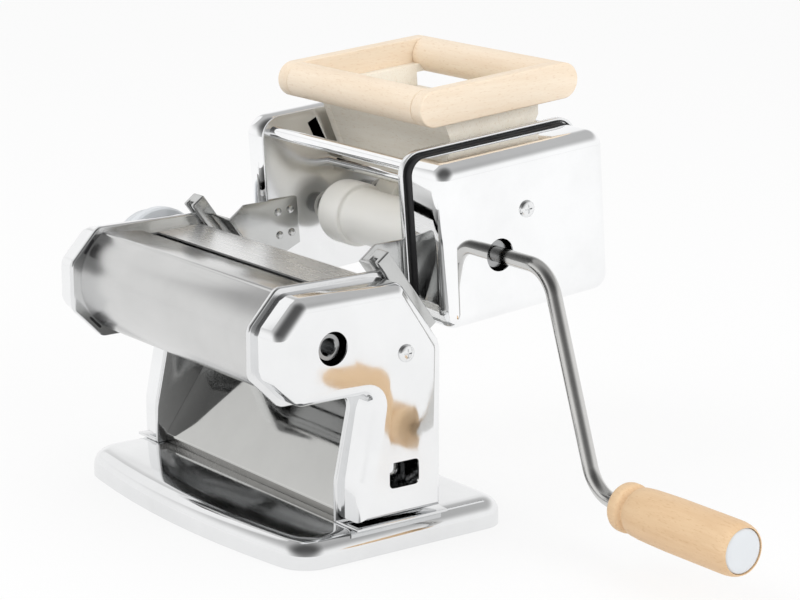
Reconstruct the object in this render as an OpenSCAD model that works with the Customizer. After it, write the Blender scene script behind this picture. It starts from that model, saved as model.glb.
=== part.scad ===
// Hand cranked pasta machine with a dumpling attachment hooked on its rear.
// X runs along the rollers with the crank at +X, the front is at -Y and Z is up.
// The origin lies on the table under the machine. All sizes are in millimetres.

/* [Base] */
// Width of the base, side to side
base_w = 208; // [200:1:240]
// Front corners of the base, forward of the origin
base_front = 52; // [45:1:70]
// Rear edge of the base, behind the origin
base_rear = 77; // [60:1:100]
// How far the curved front edge stands out past its corners
base_bulge = 10; // [4:1:20]
// Height of the base
base_h = 14.5; // [12:0.5:20]
// Radius of the base's corners, seen from above
base_corner_r = 14; // [11:1:20]
// Radius of the rolled upper edge
base_edge_r = 9; // [4:0.5:10]
// Sheet thickness of the base
base_wall = 1.2; // [0.8:0.1:2]

/* [Cheeks] */
// Clear width between the two inner plates
plate_gap = 166; // [150:1:180]
// Thickness of an inner plate
plate_t = 3; // [2:0.5:4]
// Height of the legs, from the base to the underside of the head
leg_h = 65.3; // [55:0.1:80]
// Height of the head
head_h = 59.7; // [58:0.1:70]
// Space in front of the drum, up to the front edge of the head
drum_margin = 5.2; // [4:0.1:9]
// Run of the upper front chamfer
front_top_run = 16.4; // [10:0.1:20]
// Drop of the upper front chamfer
front_top_drop = 17.8; // [10:0.1:20]
// Run of the lower front chamfer
front_low_run = 17.2; // [10:0.1:20]
// Rise of the lower front chamfer
front_low_rise = 17.1; // [10:0.1:20]
// Front edge of the leg's foot, forward of the origin
leg_front = 19; // [15:0.5:25]
// Rear edge of the leg, behind the origin
leg_rear = 37; // [35:0.5:45]
// Lean of the leg's front edge towards the rear
leg_lean = 9.5; // [4:0.5:12]
// Height above the base where the lean starts
leg_lean_h = 21.5; // [10:0.5:30]
// Fillet between the head and the leg
crotch_r = 8; // [4:0.5:12]
// Run of the rear chamfer
rear_run = 26; // [22:0.5:28]
// Drop of the rear chamfer
rear_drop = 35.5; // [30:0.5:38]
// Thickness of the foot flange on the base
foot_t = 1.5; // [1:0.1:2]

/* [Covers] */
// Depth of a cheek cover
cover_depth = 19; // [18.5:0.5:24]
// Width of the rim that an inner plate shows round its cover
rim_w = 3; // [2.8:0.1:3.4]
// Radius of the cover's pressed edge
cover_edge_r = 7; // [3:0.5:9]
// Sheet thickness of covers, drum and chute
sheet_t = 1; // [0.8:0.1:1.2]
// Diameter of the crank hole in the right cover
crank_hole_d = 17; // [15:0.5:18]
// Place of the cover screw behind the origin
screw_y = 10; // [8:0.5:14]
// Place of the cover screw above the base
screw_h = 87; // [84:0.5:90]
// Diameter of a screw head
screw_head_d = 9; // [7:0.5:11]
// Height of a screw head
screw_head_h = 1.8; // [1:0.1:2.5]
// Diameter of a screw's shank
screw_d = 4; // [3:0.5:5]
// Width of the clamp window
window_w = 18; // [12:0.5:20]
// Height of the clamp window
window_h = 13.2; // [10:0.2:16]
// Middle of the clamp window behind the origin
window_y = 9; // [6:0.5:14]
// Middle of the clamp window above the base
window_rise = 25.5; // [20:0.5:32]
// Corner radius of the clamp window
window_r = 2.5; // [1:0.5:4]

/* [Rollers] */
// Diameter of the two smooth rollers
roller_d = 32; // [30:0.1:32.5]
// Front roller's axis behind the origin
front_axis_y = -33.5; // [-36:0.1:-31]
// Front roller's axis above the underside of the head
front_axis_rise = 30.7; // [29:0.1:32]
// Slope of the line from the front roller to the rear one
centre_angle = 7; // [0:0.5:9]
// Gap between the rollers at the thinnest setting
gap_min = 0.4; // [0.2:0.1:0.8]
// Travel of the rear roller from the widest to the thinnest setting
gap_travel = 2.2; // [1.5:0.1:2.4]
// Diameter of the journals, and of the attachment's shafts
journal_d = 12; // [11:0.5:13]
// Wall of a plain bush
bush_wall = 2; // [1.5:0.1:3]
// Flange of a bush, in width and in thickness
bush_flange = 2; // [1.5:0.1:2.5]
// Teeth on each roller gear
roller_teeth = 16; // [14:1:18]
// Face width of a roller gear
gear_t = 5.5; // [4:0.5:6]
// Diameter of the crank's rod
rod_d = 8; // [7:0.1:8.5]
// Depth of a crank socket
socket_depth = 18; // [12:0.5:20]
// Diameter of a crank socket's hub
hub_d = 14; // [12:0.5:15]
// Length of the machine's socket hub
hub_len = 6.8; // [4:0.2:8]
// Side of a square sliding bearing
block_w = 18; // [16:0.5:19]
// Lip of a sliding bearing outside its slot
block_lip = 2.5; // [1.5:0.1:3]
// Outer radius of the front drum
drum_r = 30.5; // [28:0.1:32]
// Direction of the drum's upper edge
drum_from = 121; // [115:1:130]
// Direction of the drum's lower edge
drum_to = 246; // [235:1:252]
// Width of a dough guide, along the rollers
guide_w = 8; // [5:0.5:10]
// Height of the guides' top above the front roller's axis
guide_rise = 19.8; // [19:0.1:20]
// Width of the feed slot between the two decks over the rollers
feed_slot = 10.5; // [9:0.5:13]
// Front edge of the feed slot behind the front roller's axis
slot_back = 7.5; // [5:0.5:9]
// Height of the feed slot's front edge above the front roller's axis
slot_rise = 23.9; // [23.5:0.1:25]
// Step down from the front deck to the rear deck
deck_step = 2.3; // [1:0.1:2.4]

/* [Inside] */
// Diameter of a tie rod
tie_d = 7; // [5:0.1:7.5]
// Thickness of a scraper blade
blade_t = 0.8; // [0.6:0.1:1]
// Gap between a scraper and its roller
blade_gap = 0.5; // [0.4:0.1:0.8]
// Angle on the front roller where its scraper's edge lies
front_blade_angle = -92; // [-94:1:-90]
// Angle on the rear roller where its scraper's edge lies
rear_blade_angle = -82; // [-84:1:-80]
// Distance of the chute's front lip behind the front of the legs
chute_set = 6.5; // [4:0.5:8]
// Height of the chute's front lip
chute_lip = 4.6; // [3:0.2:6]
// Slope of the chute
chute_slope = 54; // [52:0.5:56]

/* [Regulator] */
// Diameter of the thickness regulator's knob
knob_d = 49; // [40:0.5:52]
// Thickness of the knob
knob_t = 18; // [14:0.5:22]
// Thickness of the knob's skirt
knob_skirt = 6; // [4:0.5:8]
// Scallops round the knob
knob_scallops = 12; // [8:1:16]
// Diameter of the regulator's shaft
regulator_d = 9; // [8:0.5:10]
// Smallest radius of the snail cam
cam_r = 8; // [7.5:0.1:8.5]
// Thickness of the cam
cam_t = 6; // [4:0.5:7]
// Turn of the regulator over its whole range
regulator_turn = 270; // [240:5:280]

/* [Attachment] */
// Front mould roller's axis behind the machine's upper rear corner
attach_back = 69.5; // [69:0.1:76]
// Front mould roller's axis below the machine's top
attach_drop = 1.2; // [0:0.1:2]
// Forward tilt of the attachment
attach_tilt = 4.5; // [3:0.1:6]
// Clear width between the attachment's plates
attach_gap = 122; // [110:1:124]
// Middle of the attachment to the left of the machine's middle
attach_shift = 2.5; // [1:0.1:4]
// Front edge of the attachment's plates before the front axis
attach_front = 38; // [36:0.5:39]
// Rear edge of the plates behind the front axis
attach_rear = 76.5; // [74:0.5:90]
// Top of the plates above the axis
attach_top = 55; // [50:0.5:56]
// Bottom of the plates below the axis
attach_low = 37; // [33:0.5:40]
// Corner radius of the plates
attach_corner_r = 12; // [11.5:0.5:16]
// Sheet thickness of the attachment's plates and arms
attach_sheet = 1.6; // [1.2:0.1:2]
// Depth of the right plate's turned rim
attach_rim = 3.5; // [3:0.1:5]
// Depth of the black seal between the right plate and the gear cover
seal_depth = 5.9; // [5:0.1:8]
// Inset of the seal from the rim
seal_inset = 2.6; // [2.2:0.1:3]
// Width of the seal
seal_w = 4; // [3:0.5:6]
// Depth of the gear cover
gear_cover_depth = 24; // [22:0.5:30]
// Inset of both covers from the plates' edges
attach_inset = 3; // [2:0.1:3.5]
// Radius of both covers' pressed edges
attach_edge_r = 8; // [5:0.5:8.5]
// Depth of the left cover
left_cover_depth = 17; // [12:0.5:17.5]
// Inset of the left cover from its plate's outline
left_cover_inset = 0.4; // [0.2:0.1:2]
// Radius of the left cover's edge
left_cover_edge_r = 5; // [4:0.5:7]
// Diameter of the hole for the crank
attach_hole_d = 17; // [15:0.5:18]
// Diameter of the tie bars
bar_d = 6.6; // [5:0.1:7]
// Length of the arm's channel along the rear chamfer
channel_len = 40; // [34:0.5:42]
// Reach of an arm's channel above the top of the rear chamfer
channel_over = 8; // [4:0.5:10]
// Height of the channel above the chamfer
channel_h = 6; // [5:0.5:8]
// Wall of the channel on each side of the plate
channel_wall = 3; // [2.5:0.1:3.4]
// Reach of the arm's end past the plates' front edge
arm_lap = 18; // [15:0.5:19]
// Height of the arm's end
arm_h = 26; // [22:0.5:28]

/* [Mould rollers] */
// Distance between the two mould rollers' axes
mould_pitch = 37; // [36:0.1:39]
// Diameter of the end flanges of a mould roller
flange_d = 35; // [33:0.1:35.4]
// Thickness of the flange at a mould roller's right end
flange_t = 5; // [4:0.5:8]
// Width of the rounded cap at a mould roller's left end
cap_w = 22; // [16:0.5:26]
// Diameter of a mould roller's body
mould_d = 30; // [28:0.1:31]
// Ribs round the rear mould roller
mould_ribs = 20; // [16:1:26]
// Diameter of a rib
rib_d = 3; // [2:0.1:3.4]
// Free space between a mould roller and the right plate
mould_side_gap = 2; // [1.5:0.1:4]
// Free space between a mould roller and the left plate
mould_left_gap = 12; // [8:0.5:14]
// Teeth on each mould gear
mould_teeth = 18; // [16:1:20]
// Face width of a mould gear
mould_gear_t = 9; // [7:0.5:10]

/* [Hopper] */
// Diameter of the wooden dowels, and height of the rails
dowel_d = 19; // [16:0.5:20]
// Front dowel before the front mould axis
dowel_front = 14; // [13:0.1:17]
// Distance between the dowels
dowel_pitch = 84.4; // [83:0.2:92]
// Height of the dowels above the mould axes
dowel_rise = 73.7; // [72:0.1:80]
// Thickness of a wooden side rail
rail_t = 8.5; // [7:0.5:10]
// Thickness of an end board
board_t = 6; // [4:0.5:8]
// Thickness of a sloping panel
panel_t = 4; // [3:0.2:5]
// Height of the hopper's lower edge above the mould axes
hopper_low = 18; // [17.5:0.5:20]
// Width of the slot at the hopper's lower end, outside
hopper_slot = 16.8; // [15:0.2:18]
// Rear end of the end boards behind the front mould axis, at their top
board_rear = 59; // [55:0.2:60]
// Height at which the rear panel ends, above the mould axes
rear_panel_top = 57; // [52:0.5:60]
// Free space between an end board and the plate beside it
board_gap = 5.5; // [4:0.1:6.5]

/* [Crank] */
// Distance from the crank's axis to the grip's axis
crank_throw = 107; // [90:0.5:112]
// Lean of the crank's arm out of the vertical
crank_lean = 20; // [15:0.5:28]
// Corner of the upper bend, measured from the machine's middle
crank_corner = 128; // [124:0.5:132]
// Radius of both bends
bend_r = 20; // [16:0.5:22]
// Straight rod between the lower bend and the grip
grip_gap = 7; // [3:0.5:10]
// Length of the wooden grip
grip_len = 83; // [78:0.5:100]
// Largest diameter of the grip
grip_d = 26.8; // [24:0.2:30]
// Diameter of the grip's collar
collar_d = 25; // [22:0.2:28]
// Diameter of the cap in the grip's end
cap_d = 22.2; // [18:0.2:22.6]

/* [Fits] */
// Radial clearance of a running shaft
run_clear = 0.05; // [0.02:0.01:0.1]
// Clearance between pieces that slide past each other
slide_clear = 0.3; // [0.2:0.05:0.35]
// Side clearance between pieces that turn past each other
side_clear = 0.6; // [0.5:0.1:0.8]
// Half of the free play between two gear teeth
tooth_play = 0.18; // [0.1:0.02:0.3]

/* [Hidden] */
$fn = 64;
hull_fn = 24;
cut = 1;
chrome = [0.82, 0.83, 0.85];
steel = [0.66, 0.68, 0.70];
bronze = [0.70, 0.55, 0.35];
white_plastic = [0.93, 0.92, 0.89];
black_plastic = [0.08, 0.08, 0.09];
beech = [0.90, 0.76, 0.58];
cream = [0.91, 0.87, 0.80];

// Places of the cheeks
half_gap = plate_gap / 2;
half_out = half_gap + plate_t;
head_low = base_h + leg_h;
top_z = head_low + head_h;
front_axis = [front_axis_y, head_low + front_axis_rise];
head_front_y = front_axis_y - drum_r - drum_margin;
top_rear_y = leg_rear - rear_run;
crotch_y = leg_lean - leg_front;
lean_z = base_h + leg_lean_h;
lean_slope = leg_lean / (leg_h - leg_lean_h);
leg_lap = 20;
chamfer_angle = atan2(rear_drop, rear_run);
foot_reach = cover_depth - sheet_t;

// Places of the rollers, with the rear one at its widest setting
roller_r = roller_d / 2;
journal_r = journal_d / 2;
bush_r = journal_r + run_clear + bush_wall;
centre_min = roller_d + gap_min;
centre_rest = centre_min + gap_travel;
centre_dir = [cos(centre_angle), sin(centre_angle)];
rear_axis = front_axis + centre_rest * centre_dir;
barrel_half = half_gap - side_clear;
bush_end = half_out + bush_flange;
gear_x = bush_end + side_clear;
gear_end = gear_x + gear_t;
hub_end = gear_end + hub_len;
socket_r = rod_d / 2 + 0.1;
block_end = half_out + slide_clear + 1.7;
pressure_angle = 20;

// Places inside the machine
tie_r = tie_d / 2;
front_tie = front_axis + [-10.5, -20.5];
rear_tie = [leg_rear - 15, top_z - 33.5];
scraper_tie = [14, head_low + 12.2];
low_tie = [leg_rear - 12, base_h + 26];
bracket_foot = [screw_y + 12, base_h + screw_h - 12];
bracket_t = 3;
bracket_w = 10;
bracket_x = gear_end + 0.9;
bracket_post_r = 5;
screw_place = [screw_y, base_h + screw_h];
cover_face = half_out + cover_depth;
rear_sheet_inset = rim_w + side_clear;
window_place = [window_y, base_h + window_rise];
chute_lip_top = [chute_set - leg_front, base_h + chute_lip];
chute_run = leg_rear - rear_sheet_inset - sheet_t - chute_lip_top[0];
chute_end = chute_lip_top + chute_run * [1, tan(chute_slope)];

// Places of the regulator, to the left of the machine
cam_x = block_end + 3;
cam_end = cam_x + cam_t;
cam_gap = 0.35;
finger_t = 4;
finger_w = 6;
cam_hold = 25;
knob_x = cover_face + screw_head_h + side_clear;
knob_end = knob_x + knob_t;

// Edges of the feed slot
front_deck_end = front_axis + [slot_back, slot_rise];
rear_deck_front = front_deck_end + [feed_slot, -deck_step];

// Places of the attachment
attach_y = top_rear_y + attach_back;
attach_z = top_z - attach_drop;
attach_left = -attach_gap / 2 - attach_shift;
attach_right = attach_gap / 2 - attach_shift;
mould_left = attach_left + mould_left_gap;
mould_right = attach_right - mould_side_gap;
cover_x = attach_right + attach_sheet + seal_depth;
gear_cover_face = cover_x + gear_cover_depth;
mould_gear_x = cover_x + 1;
mould_hub_x = mould_gear_x + mould_gear_t;
mould_hub_end = gear_cover_face - 4;
gear_screw_place = [mould_pitch / 2, 20.4];
post_r = 4;
front_bar = [-attach_front + 8, attach_top - 8.1];
rear_bar = [attach_rear - 8, attach_top - 8.1];
channel_clear = 0.4;
web_n = 3;
web_from = 4;
rivet_r = 2.2;
rivet_h = 0.9;
rivet_edge = 5;
rivet_rows = [-10, 3];

// Places of the hopper, in the attachment's own frame
board_right = attach_right - board_gap;
board_left = attach_left + board_gap;
dowel_r = dowel_d / 2;
front_dowel_at = [-dowel_front, dowel_rise];
rear_dowel_at = [dowel_pitch - dowel_front, dowel_rise];
board_top = dowel_rise - 3.5;
slot_front = [mould_pitch / 2 + 2 - hopper_slot / 2, hopper_low];
slot_rear = slot_front + [hopper_slot, 0];
front_panel_top = [-dowel_front + dowel_r - 0.2, board_top];
rear_panel_end = [board_rear, rear_panel_top];
rest_h = 8;
front_slope = (front_panel_top - slot_front) / norm(front_panel_top - slot_front);
rear_slope = (rear_panel_end - slot_rear) / norm(rear_panel_end - slot_rear);
rest_reach = bar_d / 2 + slide_clear;
front_rest = slot_front + rest_h * front_slope + rest_reach * [-front_slope[1], front_slope[0]];
rear_rest = slot_rear + rest_h * rear_slope + rest_reach * [rear_slope[1], -rear_slope[0]];

// Places of the crank, which hangs straight down
rod_r = rod_d / 2;
mark_h = 0.15;
mark_len = 1.6;
bend_turn = 90 - crank_lean;
bend_run = bend_r * tan(bend_turn / 2);
crank_foot = crank_corner + crank_throw * tan(crank_lean);
rod_start = mould_hub_end - socket_depth + 0.5;
grip_x = crank_foot + bend_run + grip_gap;
grip_bore_r = rod_r + run_clear;
grip_z = attach_z - crank_throw;
cap_seat = grip_len - 4;
retainer_floor = cap_seat - 7;
retainer_x = retainer_floor + 0.4;
retainer_t = 1.6;
retainer_r = 7;

// Outline of an inner plate in (y, z), and its two convex halves for the cover
head_front_pts = [
    [top_rear_y, top_z],
    [head_front_y + front_top_run, top_z],
    [head_front_y, top_z - front_top_drop],
    [head_front_y, head_low + front_low_rise],
    [head_front_y + front_low_run, head_low]
];
crotch_pts = [
    for (a = [90 : -15 : 0])
        [crotch_y - crotch_r, head_low - crotch_r] + crotch_r * [cos(a), sin(a)]
];
leg_pts = [[-leg_front, lean_z], [-leg_front, base_h], [leg_rear, base_h]];
rear_top = [leg_rear, top_z - rear_drop];
cheek_pts = concat(head_front_pts, crotch_pts, leg_pts, [rear_top]);
head_pts = concat(head_front_pts, [[leg_rear, head_low], rear_top]);
leg_cover_pts = concat(
    [[crotch_y + lean_slope * leg_lap, head_low + leg_lap]],
    leg_pts,
    [[leg_rear, head_low + leg_lap]]
);

// Bent sheets: a path in (y, z) and the same path moved to its left by the thickness
function unit(v) = v / norm(v);
function left_of(a, b) = [-unit(b - a)[1], unit(b - a)[0]];
function corner_shift(pts, i) =
    i == 0 ? left_of(pts[0], pts[1]) :
    i == len(pts) - 1 ? left_of(pts[i - 1], pts[i]) :
    let (n1 = left_of(pts[i - 1], pts[i]), n2 = left_of(pts[i], pts[i + 1]))
        (n1 + n2) / (1 + n1 * n2);
function sheet_pts(pts, t) = concat(
    pts,
    [for (i = [len(pts) - 1 : -1 : 0]) pts[i] + t * corner_shift(pts, i)]
);

// A point given along the rear chamfer and out of it, in (y, z)
function on_chamfer(s, n) = [
    top_rear_y + s * cos(chamfer_angle) + n * sin(chamfer_angle),
    top_z - s * sin(chamfer_angle) + n * cos(chamfer_angle)
];

// A point of the attachment's own frame, in (y, z) of the machine
function on_attachment(p) = [
    attach_y + p[0] * cos(attach_tilt) - p[1] * sin(attach_tilt),
    attach_z + p[0] * sin(attach_tilt) + p[1] * cos(attach_tilt)
];

// Involute gear teeth, the first one centred on the y axis of the outline
function involute(a) = tan(a) * 180 / PI - a;
function tooth_half(r, pitch_r, teeth) =
    let (base_r = pitch_r * cos(pressure_angle), a = acos(min(1, base_r / max(r, base_r))))
        90 / teeth - tooth_play / pitch_r * 180 / PI + involute(pressure_angle) - involute(a);
function gear_pts(teeth, pitch_r) =
    let (
        m = 2 * pitch_r / teeth,
        root_r = pitch_r - 1.2 * m,
        tip_r = pitch_r + 0.8 * m,
        radii = [for (k = [0 : 4]) root_r + (tip_r - root_r) * k / 4],
        flank = [for (r = radii) [r, tooth_half(r, pitch_r, teeth)]]
    ) [
        for (i = [0 : teeth - 1])
            for (side = [-1, 1])
                for (k = [0 : 4])
                    let (p = flank[side < 0 ? k : 4 - k], a = i * 360 / teeth + side * p[1])
                        p[0] * [cos(a), sin(a)]
    ];

// An outline in (y, z) given thickness t along X, from x
module slab(x, t) {
    translate([min(x, x + t), 0, 0])
        rotate([90, 0, 90])
            linear_extrude(abs(t))
                children();
}

module both_sides() {
    children();
    mirror([1, 0, 0]) children();
}

module disc_at(p, r) {
    translate(p) circle(r);
}

module ring_sector(r, t, from, to) {
    steps = 5;
    reach = 2 * r;
    intersection() {
        difference() {
            circle(r);
            circle(r - t);
        }
        polygon(concat(
            [[0, 0]],
            [for (k = [0 : steps]) let (a = from + (to - from) * k / steps) reach * [cos(a), sin(a)]]
        ));
    }
}

module round_rect(low, high, r) {
    translate([low[0] + r, low[1]]) square([high[0] - low[0] - 2 * r, high[1] - low[1]]);
    translate([low[0], low[1] + r]) square([high[0] - low[0], high[1] - low[1] - 2 * r]);
    for (y = [low[0] + r, high[0] - r])
        for (z = [low[1] + r, high[1] - r])
            disc_at([y, z], r);
}

// A pressed pan over an outline, with its edge rounded in steps
module pan(x, depth, edge_r, inset, wall) {
    own_depth = depth - wall;
    own_r = edge_r - wall;
    hull()
        for (a = [0 : 30 : 90])
            slab(x, own_depth - own_r + own_r * sin(a))
                offset(delta = -(inset + wall + own_r * (1 - cos(a))))
                    children();
}

// Base
module rounded_disc(r, h, edge) {
    rotate_extrude($fn = hull_fn)
        polygon(concat(
            [[0, 0], [r, 0]],
            [for (a = [0 : 30 : 90]) [r - edge + edge * cos(a), h - edge + edge * sin(a)]],
            [[0, h]]
        ));
}

module base_form(inset) {
    x_end = base_w / 2 - base_corner_r;
    hull() {
        for (k = [-3 : 3])
            translate([x_end * k / 3, base_corner_r - base_front - base_bulge * (1 - k * k / 9), 0])
                rounded_disc(base_corner_r - inset, base_h - inset, base_edge_r - inset);
        for (side = [-1, 1])
            translate([side * x_end, base_rear - base_corner_r, 0])
                rounded_disc(base_corner_r - inset, base_h - inset, base_edge_r - inset);
    }
}

module base_plate() {
    color(chrome)
        difference() {
            base_form(0);
            translate([0, 0, -cut])
                base_form(base_wall);
            translate([0, 0, -cut])
                linear_extrude(2 * cut)
                    projection()
                        base_form(base_wall);
        }
}

// Cheeks
module bearing_slot() {
    side = block_w + 2 * slide_clear;
    translate(rear_axis)
        rotate(centre_angle)
            translate([-side / 2 - gap_travel, -side / 2])
                square([side + gap_travel, side]);
}

module drum_tabs(grow) {
    translate(front_axis)
        for (a = [drum_from + 14, drum_to - 29])
            ring_sector(drum_r + grow, sheet_t + 2 * grow, a - grow, a + 15 + grow);
}

module window_outline() {
    half = [window_w / 2, window_h / 2];
    round_rect(window_place - half, window_place + half, window_r);
}

module inner_plate(window) {
    color(chrome) {
        slab(half_gap, plate_t)
            difference() {
                polygon(cheek_pts);
                disc_at(front_axis, bush_r);
                bearing_slot();
                drum_tabs(slide_clear);
                if (window) window_outline();
            }
        slab(half_gap, plate_t + foot_reach)
            translate([-leg_front, base_h])
                square([leg_front + leg_rear, foot_t]);
    }
}

module left_inner_plate() {
    mirror([1, 0, 0]) inner_plate(false);
}

module right_inner_plate() {
    inner_plate(true);
}

// Covers
module cheek_pans(wall) {
    pan(half_out - wall, cover_depth + wall, cover_edge_r, rim_w, wall) polygon(head_pts);
    pan(half_out - wall, cover_depth + wall, cover_edge_r, rim_w, wall) polygon(leg_cover_pts);
}

module cheek_cover() {
    difference() {
        cheek_pans(0);
        cheek_pans(sheet_t);
        slab(cover_face - 3 * sheet_t, 4 * sheet_t)
            disc_at(screw_place, screw_d / 2);
    }
}

module left_cover() {
    color(chrome)
        difference() {
            mirror([1, 0, 0]) cheek_cover();
            slab(-cover_face - sheet_t, 3 * sheet_t)
                disc_at(rear_axis, regulator_d / 2 + run_clear + bush_wall);
        }
}

module right_cover() {
    color(chrome)
        difference() {
            cheek_cover();
            slab(cover_face - 2 * sheet_t, 3 * sheet_t) {
                disc_at(front_axis, crank_hole_d / 2);
                window_outline();
            }
        }
}

module drum_deck() {
    edge = [cos(drum_from), sin(drum_from)];
    inside = [cos(drum_from + 3), sin(drum_from + 3)];
    polygon([
        front_axis + (drum_r - sheet_t * 0.75) * inside,
        front_axis + (drum_r - sheet_t * 0.25) * inside,
        front_axis + drum_r * edge,
        front_deck_end,
        front_deck_end - [0, sheet_t],
        front_axis + (drum_r - sheet_t) * edge
    ]);
}

module front_cover() {
    color(chrome) {
        slab(-half_gap, plate_gap) {
            translate(front_axis) ring_sector(drum_r, sheet_t, drum_from, drum_to);
            drum_deck();
        }
        slab(-half_out, 2 * half_out)
            drum_tabs(0);
    }
}

module rear_cover() {
    path = [
        rear_deck_front,
        on_chamfer(5, -rear_sheet_inset),
        [
            leg_rear - rear_sheet_inset,
            top_z - rear_drop - rear_sheet_inset * tan(45 - chamfer_angle / 2)
        ],
        [leg_rear - rear_sheet_inset, chute_end[1]]
    ];
    color(chrome)
        slab(-half_gap, plate_gap)
            polygon(sheet_pts(path, -sheet_t));
}

module chute() {
    path = [
        [chute_lip_top[0], base_h],
        chute_lip_top,
        chute_end
    ];
    color(chrome)
        slab(-half_gap, plate_gap)
            polygon(sheet_pts(path, sheet_t));
}

// Inside of the machine
module tie_rods() {
    color(steel)
        for (p = [front_tie, rear_tie, scraper_tie, low_tie])
            slab(-half_gap, plate_gap)
                disc_at(p, tie_r);
}

module scraper(axis, rod, tip_dir) {
    tip = axis + (roller_r + blade_gap) * [cos(tip_dir), sin(tip_dir)];
    foot = rod + (tie_r - blade_t) * [cos(tip_dir), sin(tip_dir)];
    back = unit(foot - tip);
    slab(-half_gap + guide_w, plate_gap - 2 * guide_w)
        polygon(sheet_pts([tip, foot + tie_r * back], (axis[0] > rod[0] ? 1 : -1) * blade_t));
}

module front_scraper() {
    color(steel) scraper(front_axis, front_tie, front_blade_angle);
}

module rear_scraper() {
    color(steel) scraper(rear_axis, scraper_tie, rear_blade_angle);
}

module dough_guide() {
    top = front_axis[1] + guide_rise;
    low = front_axis[1] + roller_r / 2;
    channel = guide_w / 2 - 1;
    color(chrome)
        difference() {
            slab(half_gap - guide_w, guide_w)
                difference() {
                    translate([front_axis[0] + 4, low])
                        square([centre_rest - 5, top - low]);
                    disc_at(front_axis, roller_r + side_clear);
                    disc_at(rear_axis, roller_r + side_clear);
                    disc_at(rear_axis - gap_travel * centre_dir, roller_r + side_clear);
                }
            slab(half_gap - guide_w / 2 - channel, 2 * channel)
                translate([front_axis[0], top - 5])
                    square([centre_rest, 5 + cut]);
        }
}

module left_dough_guide() {
    mirror([1, 0, 0]) dough_guide();
}

module right_dough_guide() {
    dough_guide();
}

module bush(x, t, hole_r, outer_r) {
    slab(x, t)
        difference() {
            circle(outer_r);
            circle(hole_r + run_clear);
        }
}

module roller_bushes() {
    color(bronze)
        both_sides()
            translate([0, front_axis[0], front_axis[1]]) {
                bush(half_gap, plate_t + bush_flange, journal_r, bush_r);
                bush(half_out, bush_flange, journal_r, bush_r + bush_flange);
            }
}

module cover_brackets() {
    arm = [bracket_foot, screw_place];
    side = bracket_w / 2 * left_of(bracket_foot, screw_place);
    color(steel)
        both_sides()
            difference() {
                union() {
                    slab(half_out, bracket_x - half_out) disc_at(bracket_foot, bracket_post_r);
                    slab(bracket_x, bracket_t) {
                        disc_at(bracket_foot, bracket_w / 2);
                        polygon(sheet_pts([arm[0] - side, arm[1] - side], bracket_w));
                        disc_at(screw_place, bracket_w / 2);
                    }
                    slab(bracket_x, cover_face - sheet_t - bracket_x) disc_at(screw_place, post_r);
                }
                slab(bracket_x + bracket_t, cover_depth) disc_at(screw_place, screw_d / 2);
            }
}

module screw(face, length) {
    slab(face - length, length) circle(screw_d / 2);
    slab(face, screw_head_h / 2) circle(screw_head_d / 2);
    slab(face, screw_head_h) circle(screw_head_d / 2 - screw_head_h / 2);
}

module cover_screws() {
    color(steel)
        both_sides()
            translate([0, screw_place[0], screw_place[1]])
                screw(cover_face, cover_face - bracket_x - bracket_t);
}

// Rollers
module roller(right_end, left_end) {
    slab(-barrel_half, 2 * barrel_half) circle(roller_r);
    slab(-left_end, left_end + right_end) circle(journal_r);
}

module front_roller() {
    color(steel)
        translate([0, front_axis[0], front_axis[1]])
            difference() {
                union() {
                    roller(gear_end, bush_end);
                    slab(gear_end, hub_len) circle(hub_d / 2);
                }
                slab(hub_end - socket_depth, socket_depth + cut) circle(socket_r);
            }
}

module roller_gear(turn) {
    slab(gear_x, gear_t)
        difference() {
            rotate(turn) polygon(gear_pts(roller_teeth, centre_min / 2));
            circle(journal_r);
        }
}

module front_roller_gear() {
    color(steel)
        translate([0, front_axis[0], front_axis[1]])
            roller_gear(centre_angle);
}

module rear_roller() {
    color(steel)
        translate([0, rear_axis[0], rear_axis[1]])
            roller(gear_end, block_end);
}

module rear_roller_gear() {
    color(steel)
        translate([0, rear_axis[0], rear_axis[1]])
            roller_gear(centre_angle + 180 * (1 + 1 / roller_teeth));
}

module bearing() {
    lip_x = half_out + slide_clear;
    difference() {
        union() {
            slab(half_gap, block_end - half_gap) square(block_w, center = true);
            slab(lip_x, block_end - lip_x) square(block_w + 2 * block_lip, center = true);
        }
        slab(half_gap - cut, block_end - half_gap + 2 * cut) circle(journal_r + run_clear);
    }
}

module at_rear_axis() {
    translate([0, rear_axis[0], rear_axis[1]])
        rotate([centre_angle, 0, 0])
            children();
}

module right_bearing() {
    color(bronze) at_rear_axis() bearing();
}

module left_bearing() {
    color(bronze)
        at_rear_axis() {
            mirror([1, 0, 0]) bearing();
            slab(-half_out - slide_clear, half_out + slide_clear - cam_end)
                translate([-cam_r - cam_gap - finger_t, -finger_w / 2])
                    square([finger_t, finger_w]);
        }
}

// Regulator
module regulator_bush() {
    outer_r = regulator_d / 2 + run_clear + bush_wall;
    length = cover_face - cam_end - 1;
    color(bronze)
        translate([0, rear_axis[0], rear_axis[1]]) {
            bush(-cover_face, length, regulator_d / 2, outer_r);
            bush(-cover_face + sheet_t, bush_flange, regulator_d / 2, outer_r + bush_flange);
        }
}

// The cam's radius grows by the roller's travel over the regulator's turn
function cam_radius(t) =
    t <= regulator_turn ? cam_r + gap_travel * t / regulator_turn :
    t >= 360 - cam_hold ? cam_r :
    cam_r + gap_travel * (360 - cam_hold - t) / (360 - cam_hold - regulator_turn);

module regulator_shaft() {
    color(steel)
        at_rear_axis() {
            slab(-knob_end + 4, knob_end - 4 - cam_x) circle(regulator_d / 2);
            slab(-cam_end, cam_t)
                polygon([for (t = [0 : 5 : 355]) cam_radius(t) * [cos(180 - t), sin(180 - t)]]);
        }
}

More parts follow.
